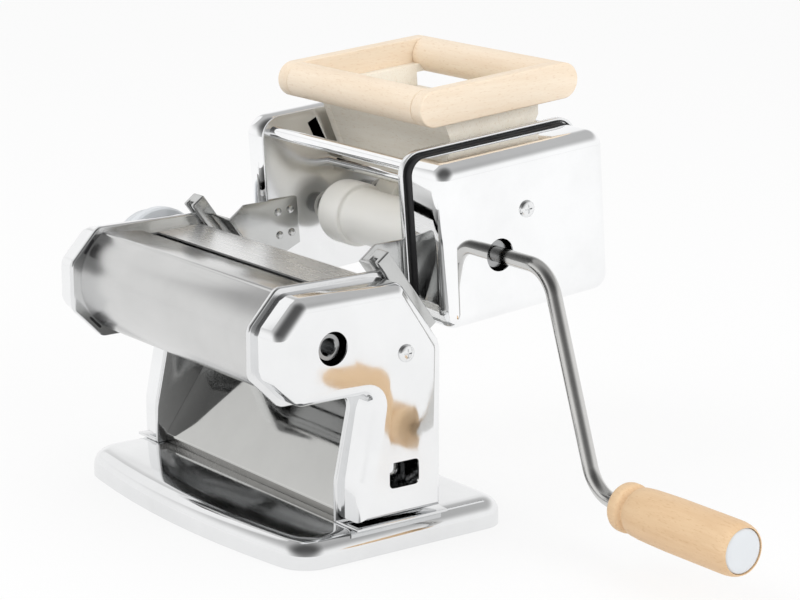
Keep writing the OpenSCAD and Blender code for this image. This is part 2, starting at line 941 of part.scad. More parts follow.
module regulator_knob() {
    grip_r = knob_d / 2 - 3.5;
    color(white_plastic)
        translate([0, rear_axis[0], rear_axis[1]])
            difference() {
                union() {
                    slab(-knob_x, -knob_skirt) circle(knob_d / 2);
                    slab(-knob_x, -knob_t)
                        difference() {
                            circle(grip_r);
                            for (i = [0 : knob_scallops - 1])
                                rotate(i * 360 / knob_scallops)
                                    disc_at([grip_r + 2, 0], 4);
                        }
                }
                slab(-knob_end + 4, knob_t) circle(regulator_d / 2);
            }
}

// Attachment
module attach_frame() {
    translate([0, attach_y, attach_z])
        rotate([attach_tilt, 0, 0])
            children();
}

module chamfer_frame() {
    translate([0, top_rear_y, top_z])
        rotate([-chamfer_angle, 0, 0])
            children();
}

module arm(plate_face, side) {
    inner = half_gap - channel_clear - channel_wall;
    outer = half_out + channel_clear + channel_wall;
    leg = rim_w - channel_clear;
    start = side > 0 ? plate_face - attach_sheet : -plate_face - attach_sheet;
    end_low = on_attachment([arm_lap - attach_front, arm_h * 0.36 - arm_h]);
    end_top = on_attachment([arm_lap - attach_front, arm_h * 0.36]);
    scale_x = side > 0 ? [0, 0, 0] : [1, 0, 0];
    mirror(scale_x) {
        chamfer_frame()
            difference() {
                translate([inner, -channel_over, -leg])
                    cube([outer - inner, channel_len + channel_over + 2, leg + channel_h]);
                translate([half_gap - channel_clear, -channel_over - cut, -leg - cut])
                    cube([
                        plate_t + 2 * channel_clear,
                        channel_len + channel_over + 4,
                        leg + channel_clear + cut
                    ]);
            }
        chamfer_frame()
            translate([start, web_from, web_n])
                cube([inner + cut - start, channel_len - web_from, attach_sheet]);
        slab(start, attach_sheet)
            polygon([
                on_chamfer(web_from, web_n),
                on_chamfer(channel_len, web_n),
                end_low,
                end_top,
                on_chamfer(web_from, web_n + 12)
            ]);
    }
}

module left_arm() {
    color(steel) arm(attach_left, -1);
}

module right_arm() {
    color(steel) arm(attach_right, 1);
}

module arm_rivets() {
    color(steel)
        attach_frame()
            for (y = [rivet_edge, arm_lap - rivet_edge])
                for (z = rivet_rows) {
                    slab(attach_left + attach_sheet, rivet_h) disc_at([y - attach_front, z], rivet_r);
                    slab(attach_right - attach_sheet, -rivet_h) disc_at([y - attach_front, z], rivet_r);
                }
}

module attach_outline(inset) {
    round_rect(
        [inset - attach_front, inset - attach_low],
        [attach_rear - inset, attach_top - inset],
        attach_corner_r - inset
    );
}

module mould_holes(r) {
    for (y = [0, mould_pitch])
        disc_at([y, 0], r);
}

module hopper_slot_cut() {
    side = [-front_slope[1], front_slope[0]];
    low = slot_front + 16 * front_slope + side;
    polygon(sheet_pts([low, low + 18 * front_slope], 6));
}

module attach_plate(x, t) {
    slab(x, t)
        difference() {
            attach_outline(0);
            mould_holes(bush_r);
            hopper_slot_cut();
        }
}

module attach_left_plate() {
    color(chrome) attach_frame() attach_plate(attach_left, -attach_sheet);
}

module attach_right_plate() {
    color(chrome)
        attach_frame() {
            attach_plate(attach_right, attach_sheet);
            slab(attach_right, attach_rim)
                difference() {
                    attach_outline(0);
                    attach_outline(attach_sheet);
                }
            slab(attach_right, gear_cover_face - sheet_t - attach_right)
                difference() {
                    disc_at(gear_screw_place, post_r);
                    disc_at(gear_screw_place, screw_d / 2);
                }
        }
}

module gear_case_seal() {
    color(black_plastic)
        attach_frame()
            slab(attach_right + attach_sheet, seal_depth)
                difference() {
                    attach_outline(seal_inset);
                    attach_outline(seal_inset + seal_w);
                }
}

module attach_pan(x, depth, inset, edge_r, wall) {
    own_r = edge_r - wall;
    hull()
        for (a = [0 : 30 : 90])
            slab(x, sign(depth) * (abs(depth) - wall - own_r + own_r * sin(a)))
                attach_outline(inset + wall + own_r * (1 - cos(a)), $fn = hull_fn);
}

module gear_cover() {
    color(chrome)
        attach_frame()
            difference() {
                attach_pan(cover_x, gear_cover_depth, attach_inset, attach_edge_r, 0);
                attach_pan(cover_x - sheet_t, gear_cover_depth + sheet_t, attach_inset, attach_edge_r, sheet_t);
                slab(gear_cover_face - 2 * sheet_t, 3 * sheet_t) {
                    circle(attach_hole_d / 2);
                    disc_at(gear_screw_place, screw_d / 2);
                }
            }
}

module gear_cover_screw() {
    color(steel)
        attach_frame()
            translate([0, gear_screw_place[0], gear_screw_place[1]])
                screw(gear_cover_face, 14);
}

module left_pan(wall) {
    attach_pan(
        attach_left - attach_sheet + wall, -left_cover_depth - wall,
        left_cover_inset, left_cover_edge_r, wall
    );
}

module attach_left_cover() {
    color(chrome)
        attach_frame()
            difference() {
                left_pan(0);
                left_pan(sheet_t);
            }
}

module attach_tie_bars() {
    color(chrome)
        attach_frame()
            for (p = [front_bar, rear_bar, front_rest, rear_rest])
                slab(attach_left, attach_gap)
                    disc_at(p, bar_d / 2);
}

module mould_bushes() {
    color(bronze)
        attach_frame()
            for (y = [0, mould_pitch])
                translate([0, y, 0]) {
                    bush(attach_left, -attach_sheet - bush_flange, journal_r, bush_r);
                    bush(attach_left - attach_sheet, -bush_flange, journal_r, bush_r + bush_flange);
                    bush(attach_right, attach_sheet + bush_flange, journal_r, bush_r);
                    bush(attach_right + attach_sheet, bush_flange, journal_r, bush_r + bush_flange);
                }
}

// Mould rollers
module front_mould_shaft() {
    left_end = attach_left - attach_sheet - bush_flange - 1;
    color(steel)
        attach_frame()
            difference() {
                union() {
                    slab(left_end, mould_hub_x - left_end) circle(journal_r);
                    slab(mould_hub_x, mould_hub_end - mould_hub_x) circle(hub_d / 2);
                }
                slab(mould_hub_end - socket_depth, socket_depth + cut) circle(socket_r);
            }
}

module rear_mould_shaft() {
    left_end = attach_left - attach_sheet - bush_flange - 1;
    color(steel)
        attach_frame()
            translate([0, mould_pitch, 0])
                slab(left_end, mould_hub_x - left_end) circle(journal_r);
}

module mould_cap() {
    r = flange_d / 2;
    translate([mould_left, 0, 0])
        rotate([90, 0, 90])
            rotate_extrude()
                polygon([
                    [0, 0],
                    [r - 7, 0],
                    [r - 3.6, 1],
                    [r - 1, 3.4],
                    [r, 7],
                    [r, cap_w],
                    [0, cap_w]
                ]);
}

module mould_body() {
    difference() {
        union() {
            slab(mould_left, mould_right - mould_left) children();
            mould_cap();
            slab(mould_right, -flange_t) circle(flange_d / 2);
        }
        slab(mould_left - cut, mould_right - mould_left + 2 * cut) circle(journal_r);
    }
}

module front_mould_roller() {
    color(white_plastic)
        attach_frame()
            mould_body()
                circle(mould_d / 2);
}

module rear_mould_roller() {
    rib_at = (mould_d - rib_d) / 2;
    color(white_plastic)
        attach_frame()
            translate([0, mould_pitch, 0])
                mould_body() {
                    circle(rib_at + rib_d / 4);
                    for (i = [0 : mould_ribs - 1])
                        disc_at(rib_at * [cos(i * 360 / mould_ribs), sin(i * 360 / mould_ribs)], rib_d / 2);
                }
}

module mould_gear(turn) {
    slab(mould_gear_x, mould_gear_t)
        difference() {
            rotate(turn) polygon(gear_pts(mould_teeth, mould_pitch / 2));
            circle(journal_r);
        }
}

module front_mould_gear() {
    color(steel) attach_frame() mould_gear(0);
}

module rear_mould_gear() {
    color(steel)
        attach_frame()
            translate([0, mould_pitch, 0])
                mould_gear(180 * (1 + 1 / mould_teeth));
}

// Hopper
module dowel(p) {
    color(beech)
        attach_frame()
            slab(board_left, board_right - board_left)
                disc_at(p, dowel_r);
}

module front_dowel() {
    dowel(front_dowel_at);
}

module rear_dowel() {
    dowel(rear_dowel_at);
}

module rail(x, t) {
    color(beech)
        attach_frame()
            slab(x, t) {
                disc_at(front_dowel_at, dowel_r);
                translate(front_dowel_at - [0, dowel_r]) square([dowel_pitch, dowel_d]);
                disc_at(rear_dowel_at, dowel_r);
            }
}

module left_rail() {
    rail(board_left, -rail_t);
}

module right_rail() {
    rail(board_right, rail_t);
}

module end_board(x, t) {
    step = [5.6, 4];
    notch = rear_panel_end + [0, 5];
    color(cream)
        attach_frame()
            slab(x, t)
                difference() {
                    polygon([
                        front_panel_top,
                        slot_front,
                        slot_rear,
                        rear_panel_end,
                        notch,
                        notch + step,
                        [notch[0] + step[0], board_top]
                    ]);
                    disc_at(rear_dowel_at, dowel_r + run_clear);
                }
}

module left_end_board() {
    end_board(board_left, board_t);
}

module right_end_board() {
    end_board(board_right, -board_t);
}

module sloping_panel(low, top, t) {
    color(cream)
        attach_frame()
            slab(board_left + board_t, board_right - board_left - 2 * board_t)
                polygon(sheet_pts([low, top], t));
}

module front_panel() {
    sloping_panel(slot_front, front_panel_top, -panel_t);
}

module rear_panel() {
    sloping_panel(slot_rear, rear_panel_end, panel_t);
}

// Crank and grip
module bend(centre_x, centre_z, from) {
    translate([centre_x, attach_y, centre_z])
        rotate([90, 0, 0])
            rotate([0, 0, from])
                rotate_extrude(angle = bend_turn)
                    translate([bend_r, 0])
                        circle(rod_r);
}

// The slight ridge that the bending tool leaves at each end of a bend
module bend_mark(p, tilt) {
    translate([p[0], attach_y, p[1]])
        rotate([0, tilt, 0])
            cylinder(h = mark_len, r = rod_r + mark_h, center = true);
}

module crank_rod() {
    upper = [crank_corner - bend_run, attach_z - bend_r];
    lower = [crank_foot + bend_run, grip_z + bend_r];
    lean = [cos(crank_lean), sin(crank_lean)];
    from = upper + bend_r * lean;
    to = lower - bend_r * lean;
    color(chrome) {
        translate([0, attach_y, attach_z])
            slab(rod_start, upper[0] - rod_start) circle(rod_r);
        bend(upper[0], upper[1], crank_lean);
        translate([from[0], attach_y, from[1]])
            rotate([0, 180 - crank_lean, 0])
                cylinder(h = norm(to - from), r = rod_r);
        bend(lower[0], lower[1], 180 + crank_lean);
        bend_mark([upper[0], attach_z], 90);
        bend_mark(from, 180 - crank_lean);
        bend_mark(to, 180 - crank_lean);
        bend_mark([lower[0], grip_z], 90);
        translate([0, attach_y, grip_z])
            slab(lower[0], grip_x + retainer_x + retainer_t + 1.5 - lower[0]) circle(rod_r);
    }
}

module grip_frame() {
    translate([grip_x, attach_y, grip_z])
        rotate([0, 90, 0])
            children();
}

module grip_retainer() {
    color(steel)
        grip_frame()
            translate([0, 0, retainer_x])
                difference() {
                    cylinder(h = retainer_t, r = retainer_r);
                    translate([0, 0, -cut]) cylinder(h = retainer_t + 2 * cut, r = rod_r);
                }
}

module grip() {
    grip_r = grip_d / 2;
    collar_r = collar_d / 2;
    neck_r = collar_r - 1.6;
    recess_r = cap_d / 2 + 0.1;
    color(beech)
        grip_frame()
            rotate_extrude()
                polygon([
                    [grip_bore_r, 0],
                    [collar_r - 1.5, 0],
                    [collar_r, 1.5],
                    [collar_r, 6.5],
                    [collar_r - 0.8, 8],
                    [neck_r, 8.8],
                    [neck_r, 10],
                    [grip_r - 1.6, 11],
                    [grip_r - 0.7, 13.5],
                    [grip_r, grip_len * 0.45],
                    [grip_r, grip_len - 5],
                    [grip_r - 0.6, grip_len - 2],
                    [recess_r + 0.7, grip_len],
                    [recess_r, grip_len],
                    [recess_r, cap_seat],
                    [retainer_r + 1, cap_seat],
                    [retainer_r + 1, retainer_floor],
                    [grip_bore_r, retainer_floor]
                ]);
}

module grip_cap() {
    cap_r = cap_d / 2;
    color(white_plastic)
        grip_frame()
            rotate_extrude()
                polygon([
                    [0, cap_seat],
                    [cap_r, cap_seat],
                    [cap_r, grip_len - 0.6],
                    [cap_r - 2, grip_len],
                    [0, grip_len + 0.6]
                ]);
}

base_plate();
left_inner_plate();
right_inner_plate();
left_cover();
right_cover();
front_cover();
rear_cover();
chute();
tie_rods();
front_scraper();
rear_scraper();
left_dough_guide();
right_dough_guide();
roller_bushes();
cover_brackets();
cover_screws();
regulator_bush();
front_roller();
front_roller_gear();
left_bearing();
right_bearing();
rear_roller();
rear_roller_gear();
regulator_shaft();
regulator_knob();
left_arm();
right_arm();
arm_rivets();
attach_left_plate();
attach_left_cover();
attach_right_plate();
gear_case_seal();
gear_cover();
gear_cover_screw();
attach_tie_bars();
mould_bushes();
front_mould_shaft();
front_mould_roller();
front_mould_gear();
rear_mould_shaft();
rear_mould_roller();
rear_mould_gear();
front_dowel();
rear_dowel();
left_rail();
right_rail();
left_end_board();
right_end_board();
front_panel();
rear_panel();
crank_rod();
grip_retainer();
grip();
grip_cap();
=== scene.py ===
"""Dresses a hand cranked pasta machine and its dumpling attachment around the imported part."""

import logging
import math
from dataclasses import dataclass
from enum import Enum
from typing import Callable, Sequence

import bpy
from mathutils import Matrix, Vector


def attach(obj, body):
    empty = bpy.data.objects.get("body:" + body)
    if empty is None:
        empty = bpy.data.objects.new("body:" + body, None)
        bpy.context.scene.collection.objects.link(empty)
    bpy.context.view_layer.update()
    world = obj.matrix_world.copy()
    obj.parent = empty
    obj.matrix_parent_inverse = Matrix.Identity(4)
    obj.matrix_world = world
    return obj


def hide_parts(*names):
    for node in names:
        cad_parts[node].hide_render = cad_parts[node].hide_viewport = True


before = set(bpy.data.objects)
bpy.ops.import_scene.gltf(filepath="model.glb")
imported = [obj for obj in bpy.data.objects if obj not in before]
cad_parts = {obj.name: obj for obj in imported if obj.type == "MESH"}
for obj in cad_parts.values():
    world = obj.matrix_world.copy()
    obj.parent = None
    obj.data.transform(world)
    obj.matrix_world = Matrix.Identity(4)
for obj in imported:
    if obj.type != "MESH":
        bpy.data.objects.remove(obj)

MM = 0.001
LOG = logging.getLogger("pasta_machine")
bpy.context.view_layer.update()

Point = Sequence[float]
Test = Callable[[Vector, Vector], bool]


class Grain(Enum):
    """Direction of the wood's fibres."""

    ALONG_ROLLERS = (1.0, 9.0, 9.0)
    FRONT_TO_REAR = (9.0, 1.0, 9.0)


class Spot(Enum):
    """What a selection looks at."""

    VERTEX = "VERT"
    EDGE = "EDGE"
    FACE = "FACE"


class Bench:
    """The hand tools: each method is one modelling move on one mesh. Sizes are in millimetres."""

    @staticmethod
    def clear() -> None:
        """Leave edit mode and let go of everything."""
        if bpy.context.mode != "OBJECT":
            bpy.ops.object.mode_set(mode="OBJECT")
        bpy.ops.object.select_all(action="DESELECT")

    @staticmethod
    def hold(piece: bpy.types.Object) -> None:
        """Make one piece the only selected and active one.

        Args:
            piece: The piece to hold.
        """
        Bench.clear()
        piece.select_set(True)
        bpy.context.view_layer.objects.active = piece

    @staticmethod
    def block(name: str, low: Point, high: Point) -> bpy.types.Object:
        """Add a box between two corners.

        Args:
            name: Name of the piece.
            low: Lower corner.
            high: Upper corner.

        Returns:
            The new piece.
        """
        Bench.clear()
        centre = [(a + b) / 2 * MM for a, b in zip(low, high)]
        bpy.ops.mesh.primitive_cube_add(size=1.0, location=centre)
        piece = bpy.context.object
        piece.name = name
        piece.scale = [(b - a) * MM for a, b in zip(low, high)]
        bpy.ops.object.transform_apply(location=True, rotation=True, scale=True)
        return piece

    @staticmethod
    def pick(piece: bpy.types.Object, spot: Spot, test: Test) -> None:
        """Enter edit mode with what passes the test selected.

        Args:
            piece: The mesh to work on.
            spot: Whether vertices, edges or faces are tested.
            test: Gets a place in millimetres and a normal, or an edge's two ends.
        """
        Bench.hold(piece)
        bpy.ops.object.mode_set(mode="EDIT")
        bpy.ops.mesh.select_mode(type=spot.value)
        bpy.ops.mesh.select_all(action="DESELECT")
        bpy.ops.object.mode_set(mode="OBJECT")
        mesh = piece.data
        if spot is Spot.VERTEX:
            for vertex in mesh.vertices:
                vertex.select = test(vertex.co / MM, vertex.normal)
        elif spot is Spot.EDGE:
            for edge in mesh.edges:
                ends = [mesh.vertices[i].co / MM for i in edge.vertices]
                edge.select = test(ends[0], ends[1])
        else:
            for face in mesh.polygons:
                face.select = test(face.center / MM, face.normal)
        bpy.ops.object.mode_set(mode="EDIT")

    @staticmethod
    def pick_all(piece: bpy.types.Object) -> None:
        """Enter edit mode with the whole mesh selected.

        Args:
            piece: The mesh to work on.
        """
        Bench.hold(piece)
        bpy.ops.object.mode_set(mode="EDIT")
        bpy.ops.mesh.select_all(action="SELECT")

    @staticmethod
    def slice(piece: bpy.types.Object, point: Point, normal: Point, keep: bool = False) -> None:
        """Cut a mesh along a plane and close it, or only score it.

        Args:
            piece: The mesh to cut.
            point: A point of the plane.
            normal: The side that falls away.
            keep: Only score the mesh, and keep both sides.
        """
        Bench.pick_all(piece)
        bpy.ops.mesh.bisect(
            plane_co=[c * MM for c in point],
            plane_no=list(normal),
            use_fill=not keep,
            clear_outer=not keep,
        )
        Bench.clear()

    @staticmethod
    def pull(piece: bpy.types.Object, test: Test, move: Point) -> None:
        """Extrude the faces that pass a test.

        Args:
            piece: The mesh to work on.
            test: Gets a face's centre and normal.
            move: How far the faces are drawn out.
        """
        Bench.pick(piece, Spot.FACE, test)
        bpy.ops.mesh.extrude_region_move(
            TRANSFORM_OT_translate={"value": [c * MM for c in move]}
        )
        Bench.clear()

    @staticmethod
    def shift(piece: bpy.types.Object, test: Test, move: Point) -> None:
        """Move the vertices that pass a test.

        Args:
            piece: The mesh to work on.
            test: Gets a vertex's place and normal.
            move: How far the vertices move.
        """
        Bench.pick(piece, Spot.VERTEX, test)
        bpy.ops.transform.translate(value=[c * MM for c in move])
        Bench.clear()

    @staticmethod
    def round_off(piece: bpy.types.Object, test: Test, radius: float, steps: int) -> None:
        """Bevel the edges that pass a test on their two ends.

        Args:
            piece: The mesh to work on.
            test: Gets an edge's two ends.
            radius: Offset of the bevel.
            steps: Segments of the bevel.
        """
        Bench.pick(piece, Spot.EDGE, test)
        bpy.ops.mesh.bevel(
            offset=radius * MM, offset_type="OFFSET", segments=steps, profile=0.5, affect="EDGES"
        )
        Bench.clear()

    @staticmethod
    def open_faces(piece: bpy.types.Object, test: Test) -> None:
        """Take away the faces that pass a test.

        Args:
            piece: The mesh to work on.
            test: Gets a face's centre and normal.
        """
        Bench.pick(piece, Spot.FACE, test)
        bpy.ops.mesh.delete(type="FACE")
        Bench.clear()

    @staticmethod
    def merge_flats(piece: bpy.types.Object) -> None:
        """Dissolve the edges between faces that lie in one plane.

        Args:
            piece: The mesh to work on.
        """
        Bench.pick_all(piece)
        bpy.ops.mesh.dissolve_limited(angle_limit=math.radians(0.5))
        Bench.clear()

    @staticmethod
    def thicken(piece: bpy.types.Object, wall: float) -> None:
        """Give an open shell its wall, on the inside.

        Args:
            piece: The open shell.
            wall: Thickness of the wall.
        """
        Bench.hold(piece)
        solid = piece.modifiers.new("wall", "SOLIDIFY")
        solid.thickness = wall * MM
        solid.offset = -1.0
        bpy.ops.object.modifier_apply(modifier=solid.name)

    @staticmethod
    def soften(piece: bpy.types.Object, width: float, steps: int = 2, angle: float = 35.0) -> None:
        """Round every edge sharper than an angle.

        Args:
            piece: The mesh to work on.
            width: Width of the rounding.
            steps: Segments of the rounding.
            angle: Least angle of an edge that is rounded, in degrees.
        """
        Bench.hold(piece)
        edge = piece.modifiers.new("edge", "BEVEL")
        edge.width = width * MM
        edge.segments = steps
        edge.limit_method = "ANGLE"
        edge.angle_limit = math.radians(angle)
        bpy.ops.object.modifier_apply(modifier=edge.name)

    @staticmethod
    def cut(piece: bpy.types.Object, tool: bpy.types.Object) -> None:
        """Cut one piece out of another, and put the tool away.

        Args:
            piece: The piece that is cut.
            tool: The cutter, which is then removed.
        """
        Bench.hold(piece)
        hole = piece.modifiers.new("cut", "BOOLEAN")
        hole.operation = "DIFFERENCE"
        hole.solver = "EXACT"
        hole.object = tool
        bpy.ops.object.modifier_apply(modifier=hole.name)
        bpy.data.objects.remove(tool, do_unlink=True)

    @staticmethod
    def join(pieces: Sequence[bpy.types.Object]) -> bpy.types.Object:
        """Make several meshes one piece, under the first one's name.

        Args:
            pieces: The meshes, the one that gives the name first.

        Returns:
            The joined piece.
        """
        Bench.hold(pieces[0])
        for other in pieces[1:]:
            other.select_set(True)
        bpy.ops.object.join()
        return bpy.context.object

    @staticmethod
    def smooth(piece: bpy.types.Object, angle: float = 40.0) -> None:
        """Turn normals outwards and shade smooth up to an angle.

        Args:
            piece: The mesh to work on.
            angle: Edges up to this angle are shaded smooth, in degrees.
        """
        Bench.pick_all(piece)
        bpy.ops.mesh.remove_doubles(threshold=1e-6)
        bpy.ops.mesh.normals_make_consistent(inside=False)
        Bench.shade(piece, angle)

    @staticmethod
    def shade(piece: bpy.types.Object, angle: float = 40.0) -> None:
        """Shade a piece smooth up to an angle in degrees."""
        Bench.hold(piece)
        bpy.ops.object.shade_smooth_by_angle(angle=math.radians(angle))

    @staticmethod
    def turn(piece: bpy.types.Object, degrees: float, pivot: Point) -> None:
        """Tilt a piece about X and carry its origin to a pivot in (y, z).

        Args:
            piece: The piece to tilt.
            degrees: Angle about X.
            pivot: Where its origin goes, as (y, z).
        """
        Bench.hold(piece)
        piece.rotation_euler = (math.radians(degrees), 0.0, 0.0)
        piece.location = (0.0, pivot[0] * MM, pivot[1] * MM)
        bpy.ops.object.transform_apply(location=True, rotation=True, scale=True)

    @staticmethod
    def lathe(
        name: str,
        axis: Point,
        stations: Sequence[Point],
        closed: bool = False,
        segments: int = 96,
    ) -> bpy.types.Object:
        """Turn a piece about an axis along X, ring by ring.

        Args:
            name: Name of the piece.
            axis: The axis in (y, z).
            stations: Pairs of place along X and radius.
            closed: The profile runs back to its start, as round a bore.
            segments: Facets round the piece.

        Returns:
            The turned piece.
        """
        Bench.clear()
        first = stations[0]
        bpy.ops.mesh.primitive_circle_add(
            vertices=segments,
            radius=first[1] * MM,
            fill_type="NOTHING" if closed else "NGON",
            location=(first[0] * MM, axis[0] * MM, axis[1] * MM),
            rotation=(0.0, math.pi / 2, 0.0),
        )
        piece = bpy.context.object
        piece.name = name
        bpy.ops.object.transform_apply(location=True, rotation=True, scale=True)
        bpy.ops.object.mode_set(mode="EDIT")
        bpy.ops.mesh.select_mode(type="VERT")
        bpy.ops.mesh.select_all(action="SELECT")
        run = list(stations[1:]) + ([first] if closed else [])
        before = first
        for here in run:
            bpy.ops.mesh.extrude_region_move(
                TRANSFORM_OT_translate={"value": ((here[0] - before[0]) * MM, 0.0, 0.0)}
            )
            ratio = here[1] / before[1]
            if abs(ratio - 1.0) > 1e-6:
                bpy.ops.transform.resize(
                    value=(1.0, ratio, ratio),
                    center_override=(here[0] * MM, axis[0] * MM, axis[1] * MM),
                )
            before = here
        Bench.clear()
        return piece


class Nodes:
    """A material's node tree, with short calls to add and join nodes."""

    def __init__(self, name: str) -> None:
        """Start a material with an empty principled shader.

        Args:
            name: Name of the material.
        """
        self.material = bpy.data.materials.new(name)
        self.material.use_nodes = True
        self.tree = self.material.node_tree
        self.shader = self.tree.nodes["Principled BSDF"]
        self.place = self.tree.nodes.new("ShaderNodeTexCoord").outputs["Object"]

    def add(self, kind: str, **values: object) -> bpy.types.Node:
        """Add a node and set what is named on it.

        Args:
            kind: The node's type.
            values: Settings of the node, by name.

        Returns:
            The new node.
        """
        node = self.tree.nodes.new(kind)
        for key, value in values.items():
            setattr(node, key, value)
        return node

    def link(self, source: bpy.types.NodeSocket, target: bpy.types.NodeSocket) -> None:
        """Join two sockets."""
        self.tree.links.new(source, target)

    def set(self, **values: object) -> None:
        """Set the shader's own sockets by name, with underscores for spaces."""
        for key, value in values.items():
            self.shader.inputs[key.replace("_", " ")].default_value = value

    def noise(
        self, stretch: Point, scale: float, detail: float = 4.0, roughness: float = 0.55
    ) -> bpy.types.NodeSocket:
        """Give a noise in Object space, stretched along the axes.

        Args:
            stretch: Factor on each axis.
            scale: Patches per metre.
            detail: Octaves.
            roughness: Weight of the finer octaves.

        Returns:
            The noise's value socket.
        """
        mapping = self.add("ShaderNodeMapping")
        mapping.inputs["Scale"].default_value = stretch
        self.link(self.place, mapping.inputs["Vector"])
        noise = self.add("ShaderNodeTexNoise")
        noise.inputs["Scale"].default_value = scale
        noise.inputs["Detail"].default_value = detail
        noise.inputs["Roughness"].default_value = roughness
        self.link(mapping.outputs["Vector"], noise.inputs["Vector"])
        return noise.outputs["Fac"]

    def spread(
        self, source: bpy.types.NodeSocket, low: float, high: float, to: Point
    ) -> bpy.types.NodeSocket:
        """Map a band of a value onto a range.

        Args:
            source: The value.
            low: Lower end of the band.
            high: Upper end of the band.
            to: The two ends of the range.

        Returns:
            The mapped value.
        """
        ramp = self.add("ShaderNodeMapRange")
        ramp.inputs["From Min"].default_value = low
        ramp.inputs["From Max"].default_value = high
        ramp.inputs["To Min"].default_value = to[0]
        ramp.inputs["To Max"].default_value = to[1]
        self.link(source, ramp.inputs["Value"])
        return ramp.outputs["Result"]

    def tones(
        self, source: bpy.types.NodeSocket, stops: Sequence[tuple[float, Point]]
    ) -> bpy.types.NodeSocket:
        """Colour a value through a ramp.

        Args:
            source: The value.
            stops: Places on the ramp and their colours.

        Returns:
            The colour.
        """
        ramp = self.add("ShaderNodeValToRGB")
        elements = ramp.color_ramp.elements
        while len(elements) < len(stops):
            elements.new(0.5)
        for element, (at, colour) in zip(elements, stops):
            element.position = at
            element.color = (*colour, 1.0)
        self.link(source, ramp.inputs["Fac"])
        return ramp.outputs["Color"]

    def blend(
        self,
        how: str,
        amount: bpy.types.NodeSocket | float,
        first: bpy.types.NodeSocket,
        second: bpy.types.NodeSocket | Point,
    ) -> bpy.types.NodeSocket:
        """Mix two colours.

        Args:
            how: Blend type.
            amount: Share of the second colour.
            first: The first colour.
            second: The second colour.

        Returns:
            The mixed colour.
        """
        mix = self.add("ShaderNodeMix", data_type="RGBA", blend_type=how)
        if isinstance(amount, float):
            mix.inputs[0].default_value = amount
        else:
            self.link(amount, mix.inputs[0])
        self.link(first, mix.inputs[6])
        if isinstance(second, bpy.types.NodeSocket):
            self.link(second, mix.inputs[7])
        else:
            mix.inputs[7].default_value = (*second, 1.0)
        return mix.outputs[2]

    def relief(self, height: bpy.types.NodeSocket, strength: float, depth: float) -> None:
        """Bump the surface by a height, in millimetres of depth.

        Args:
            height: The height, from 0 to 1.
            strength: Share of the bump that shows.
            depth: Depth of the bump.
        """
        bump = self.add("ShaderNodeBump")
        bump.inputs["Strength"].default_value = strength
        bump.inputs["Distance"].default_value = depth * MM
        self.link(height, bump.inputs["Height"])
        self.link(bump.outputs["Normal"], self.shader.inputs["Normal"])


@dataclass(frozen=True)
class Metal:
    """A bare or plated metal with handling marks."""

    name: str
    colour: Point
    dull: Point
    gloss: Point
    brush: Point = (1.0, 1.0, 1.0)
    brush_depth: float = 0.0
    wave: float = 0.02
    metallic: float = 1.0

    def make(self) -> bpy.types.Material:
        """Build the material.

        Returns:
            The metal's material.
        """
        n = Nodes(self.name)
        n.set(Metallic=self.metallic)
        smear = n.noise((1.0, 1.0, 1.0), 22.0, 6.0, 0.6)
        hair = n.noise(self.brush, 160.0, 3.0, 0.7)
        tone = n.tones(smear, ((0.3, self.dull), (0.62, self.colour)))
        n.link(tone, n.shader.inputs["Base Color"])
        rough = n.spread(smear, 0.35, 0.75, self.gloss)
        fine = n.spread(hair, 0.3, 0.7, (-0.015, 0.03))
        total = n.add("ShaderNodeMath", operation="ADD")
        n.link(rough, total.inputs[0])
        n.link(fine, total.inputs[1])
        n.link(total.outputs[0], n.shader.inputs["Roughness"])
        if self.brush_depth > 0.0:
            n.relief(hair, 0.25, self.brush_depth)
        else:
            n.relief(n.noise((1.0, 1.0, 1.0), 14.0, 2.0), self.wave, 0.6)
        return n.material


@dataclass(frozen=True)
class Wood:
    """A plain light wood with fine flecks along its fibres."""

    name: str
    pale: Point
    mid: Point
    dark: Point
    grain: Grain

    def make(self) -> bpy.types.Material:
        """Build the material.

        Returns:
            The wood's material.
        """
        n = Nodes(self.name)
        along = self.grain.value
        bands = n.noise(along, 12.0, 5.0, 0.6)
        fibre = n.noise(along, 60.0, 4.0, 0.65)
        flecks = n.noise(tuple(c * (1.0 if c > 1 else 2.2) for c in along), 150.0, 1.0, 0.4)
        tone = n.tones(bands, ((0.28, self.dark), (0.48, self.mid), (0.70, self.pale)))
        fine = n.tones(fibre, ((0.30, self.dark), (0.62, self.pale)))
        tone = n.blend("MIX", 0.35, tone, fine)
        mark = n.spread(flecks, 0.60, 0.72, (0.0, 0.28))
        tone = n.blend("MULTIPLY", mark, tone, (0.72, 0.58, 0.44))
        n.link(tone, n.shader.inputs["Base Color"])
        n.link(n.spread(fibre, 0.3, 0.7, (0.42, 0.60)), n.shader.inputs["Roughness"])
        n.relief(fibre, 0.18, 0.12)
        return n.material


@dataclass(frozen=True)
class Plastic:
    """A moulded plastic with a soft skin."""

    name: str
    colour: Point
    shade: Point
    gloss: Point

    def make(self) -> bpy.types.Material:
        """Build the material.

        Returns:
            The plastic's material.
        """
        n = Nodes(self.name)
        cloud = n.noise((1.0, 1.0, 1.0), 30.0, 3.0)
        skin = n.noise((1.0, 1.0, 1.0), 900.0, 2.0)
        n.link(n.tones(cloud, ((0.3, self.shade), (0.65, self.colour))), n.shader.inputs["Base Color"])
        n.link(n.spread(cloud, 0.3, 0.7, self.gloss), n.shader.inputs["Roughness"])
        n.relief(skin, 0.12, 0.05)
        return n.material


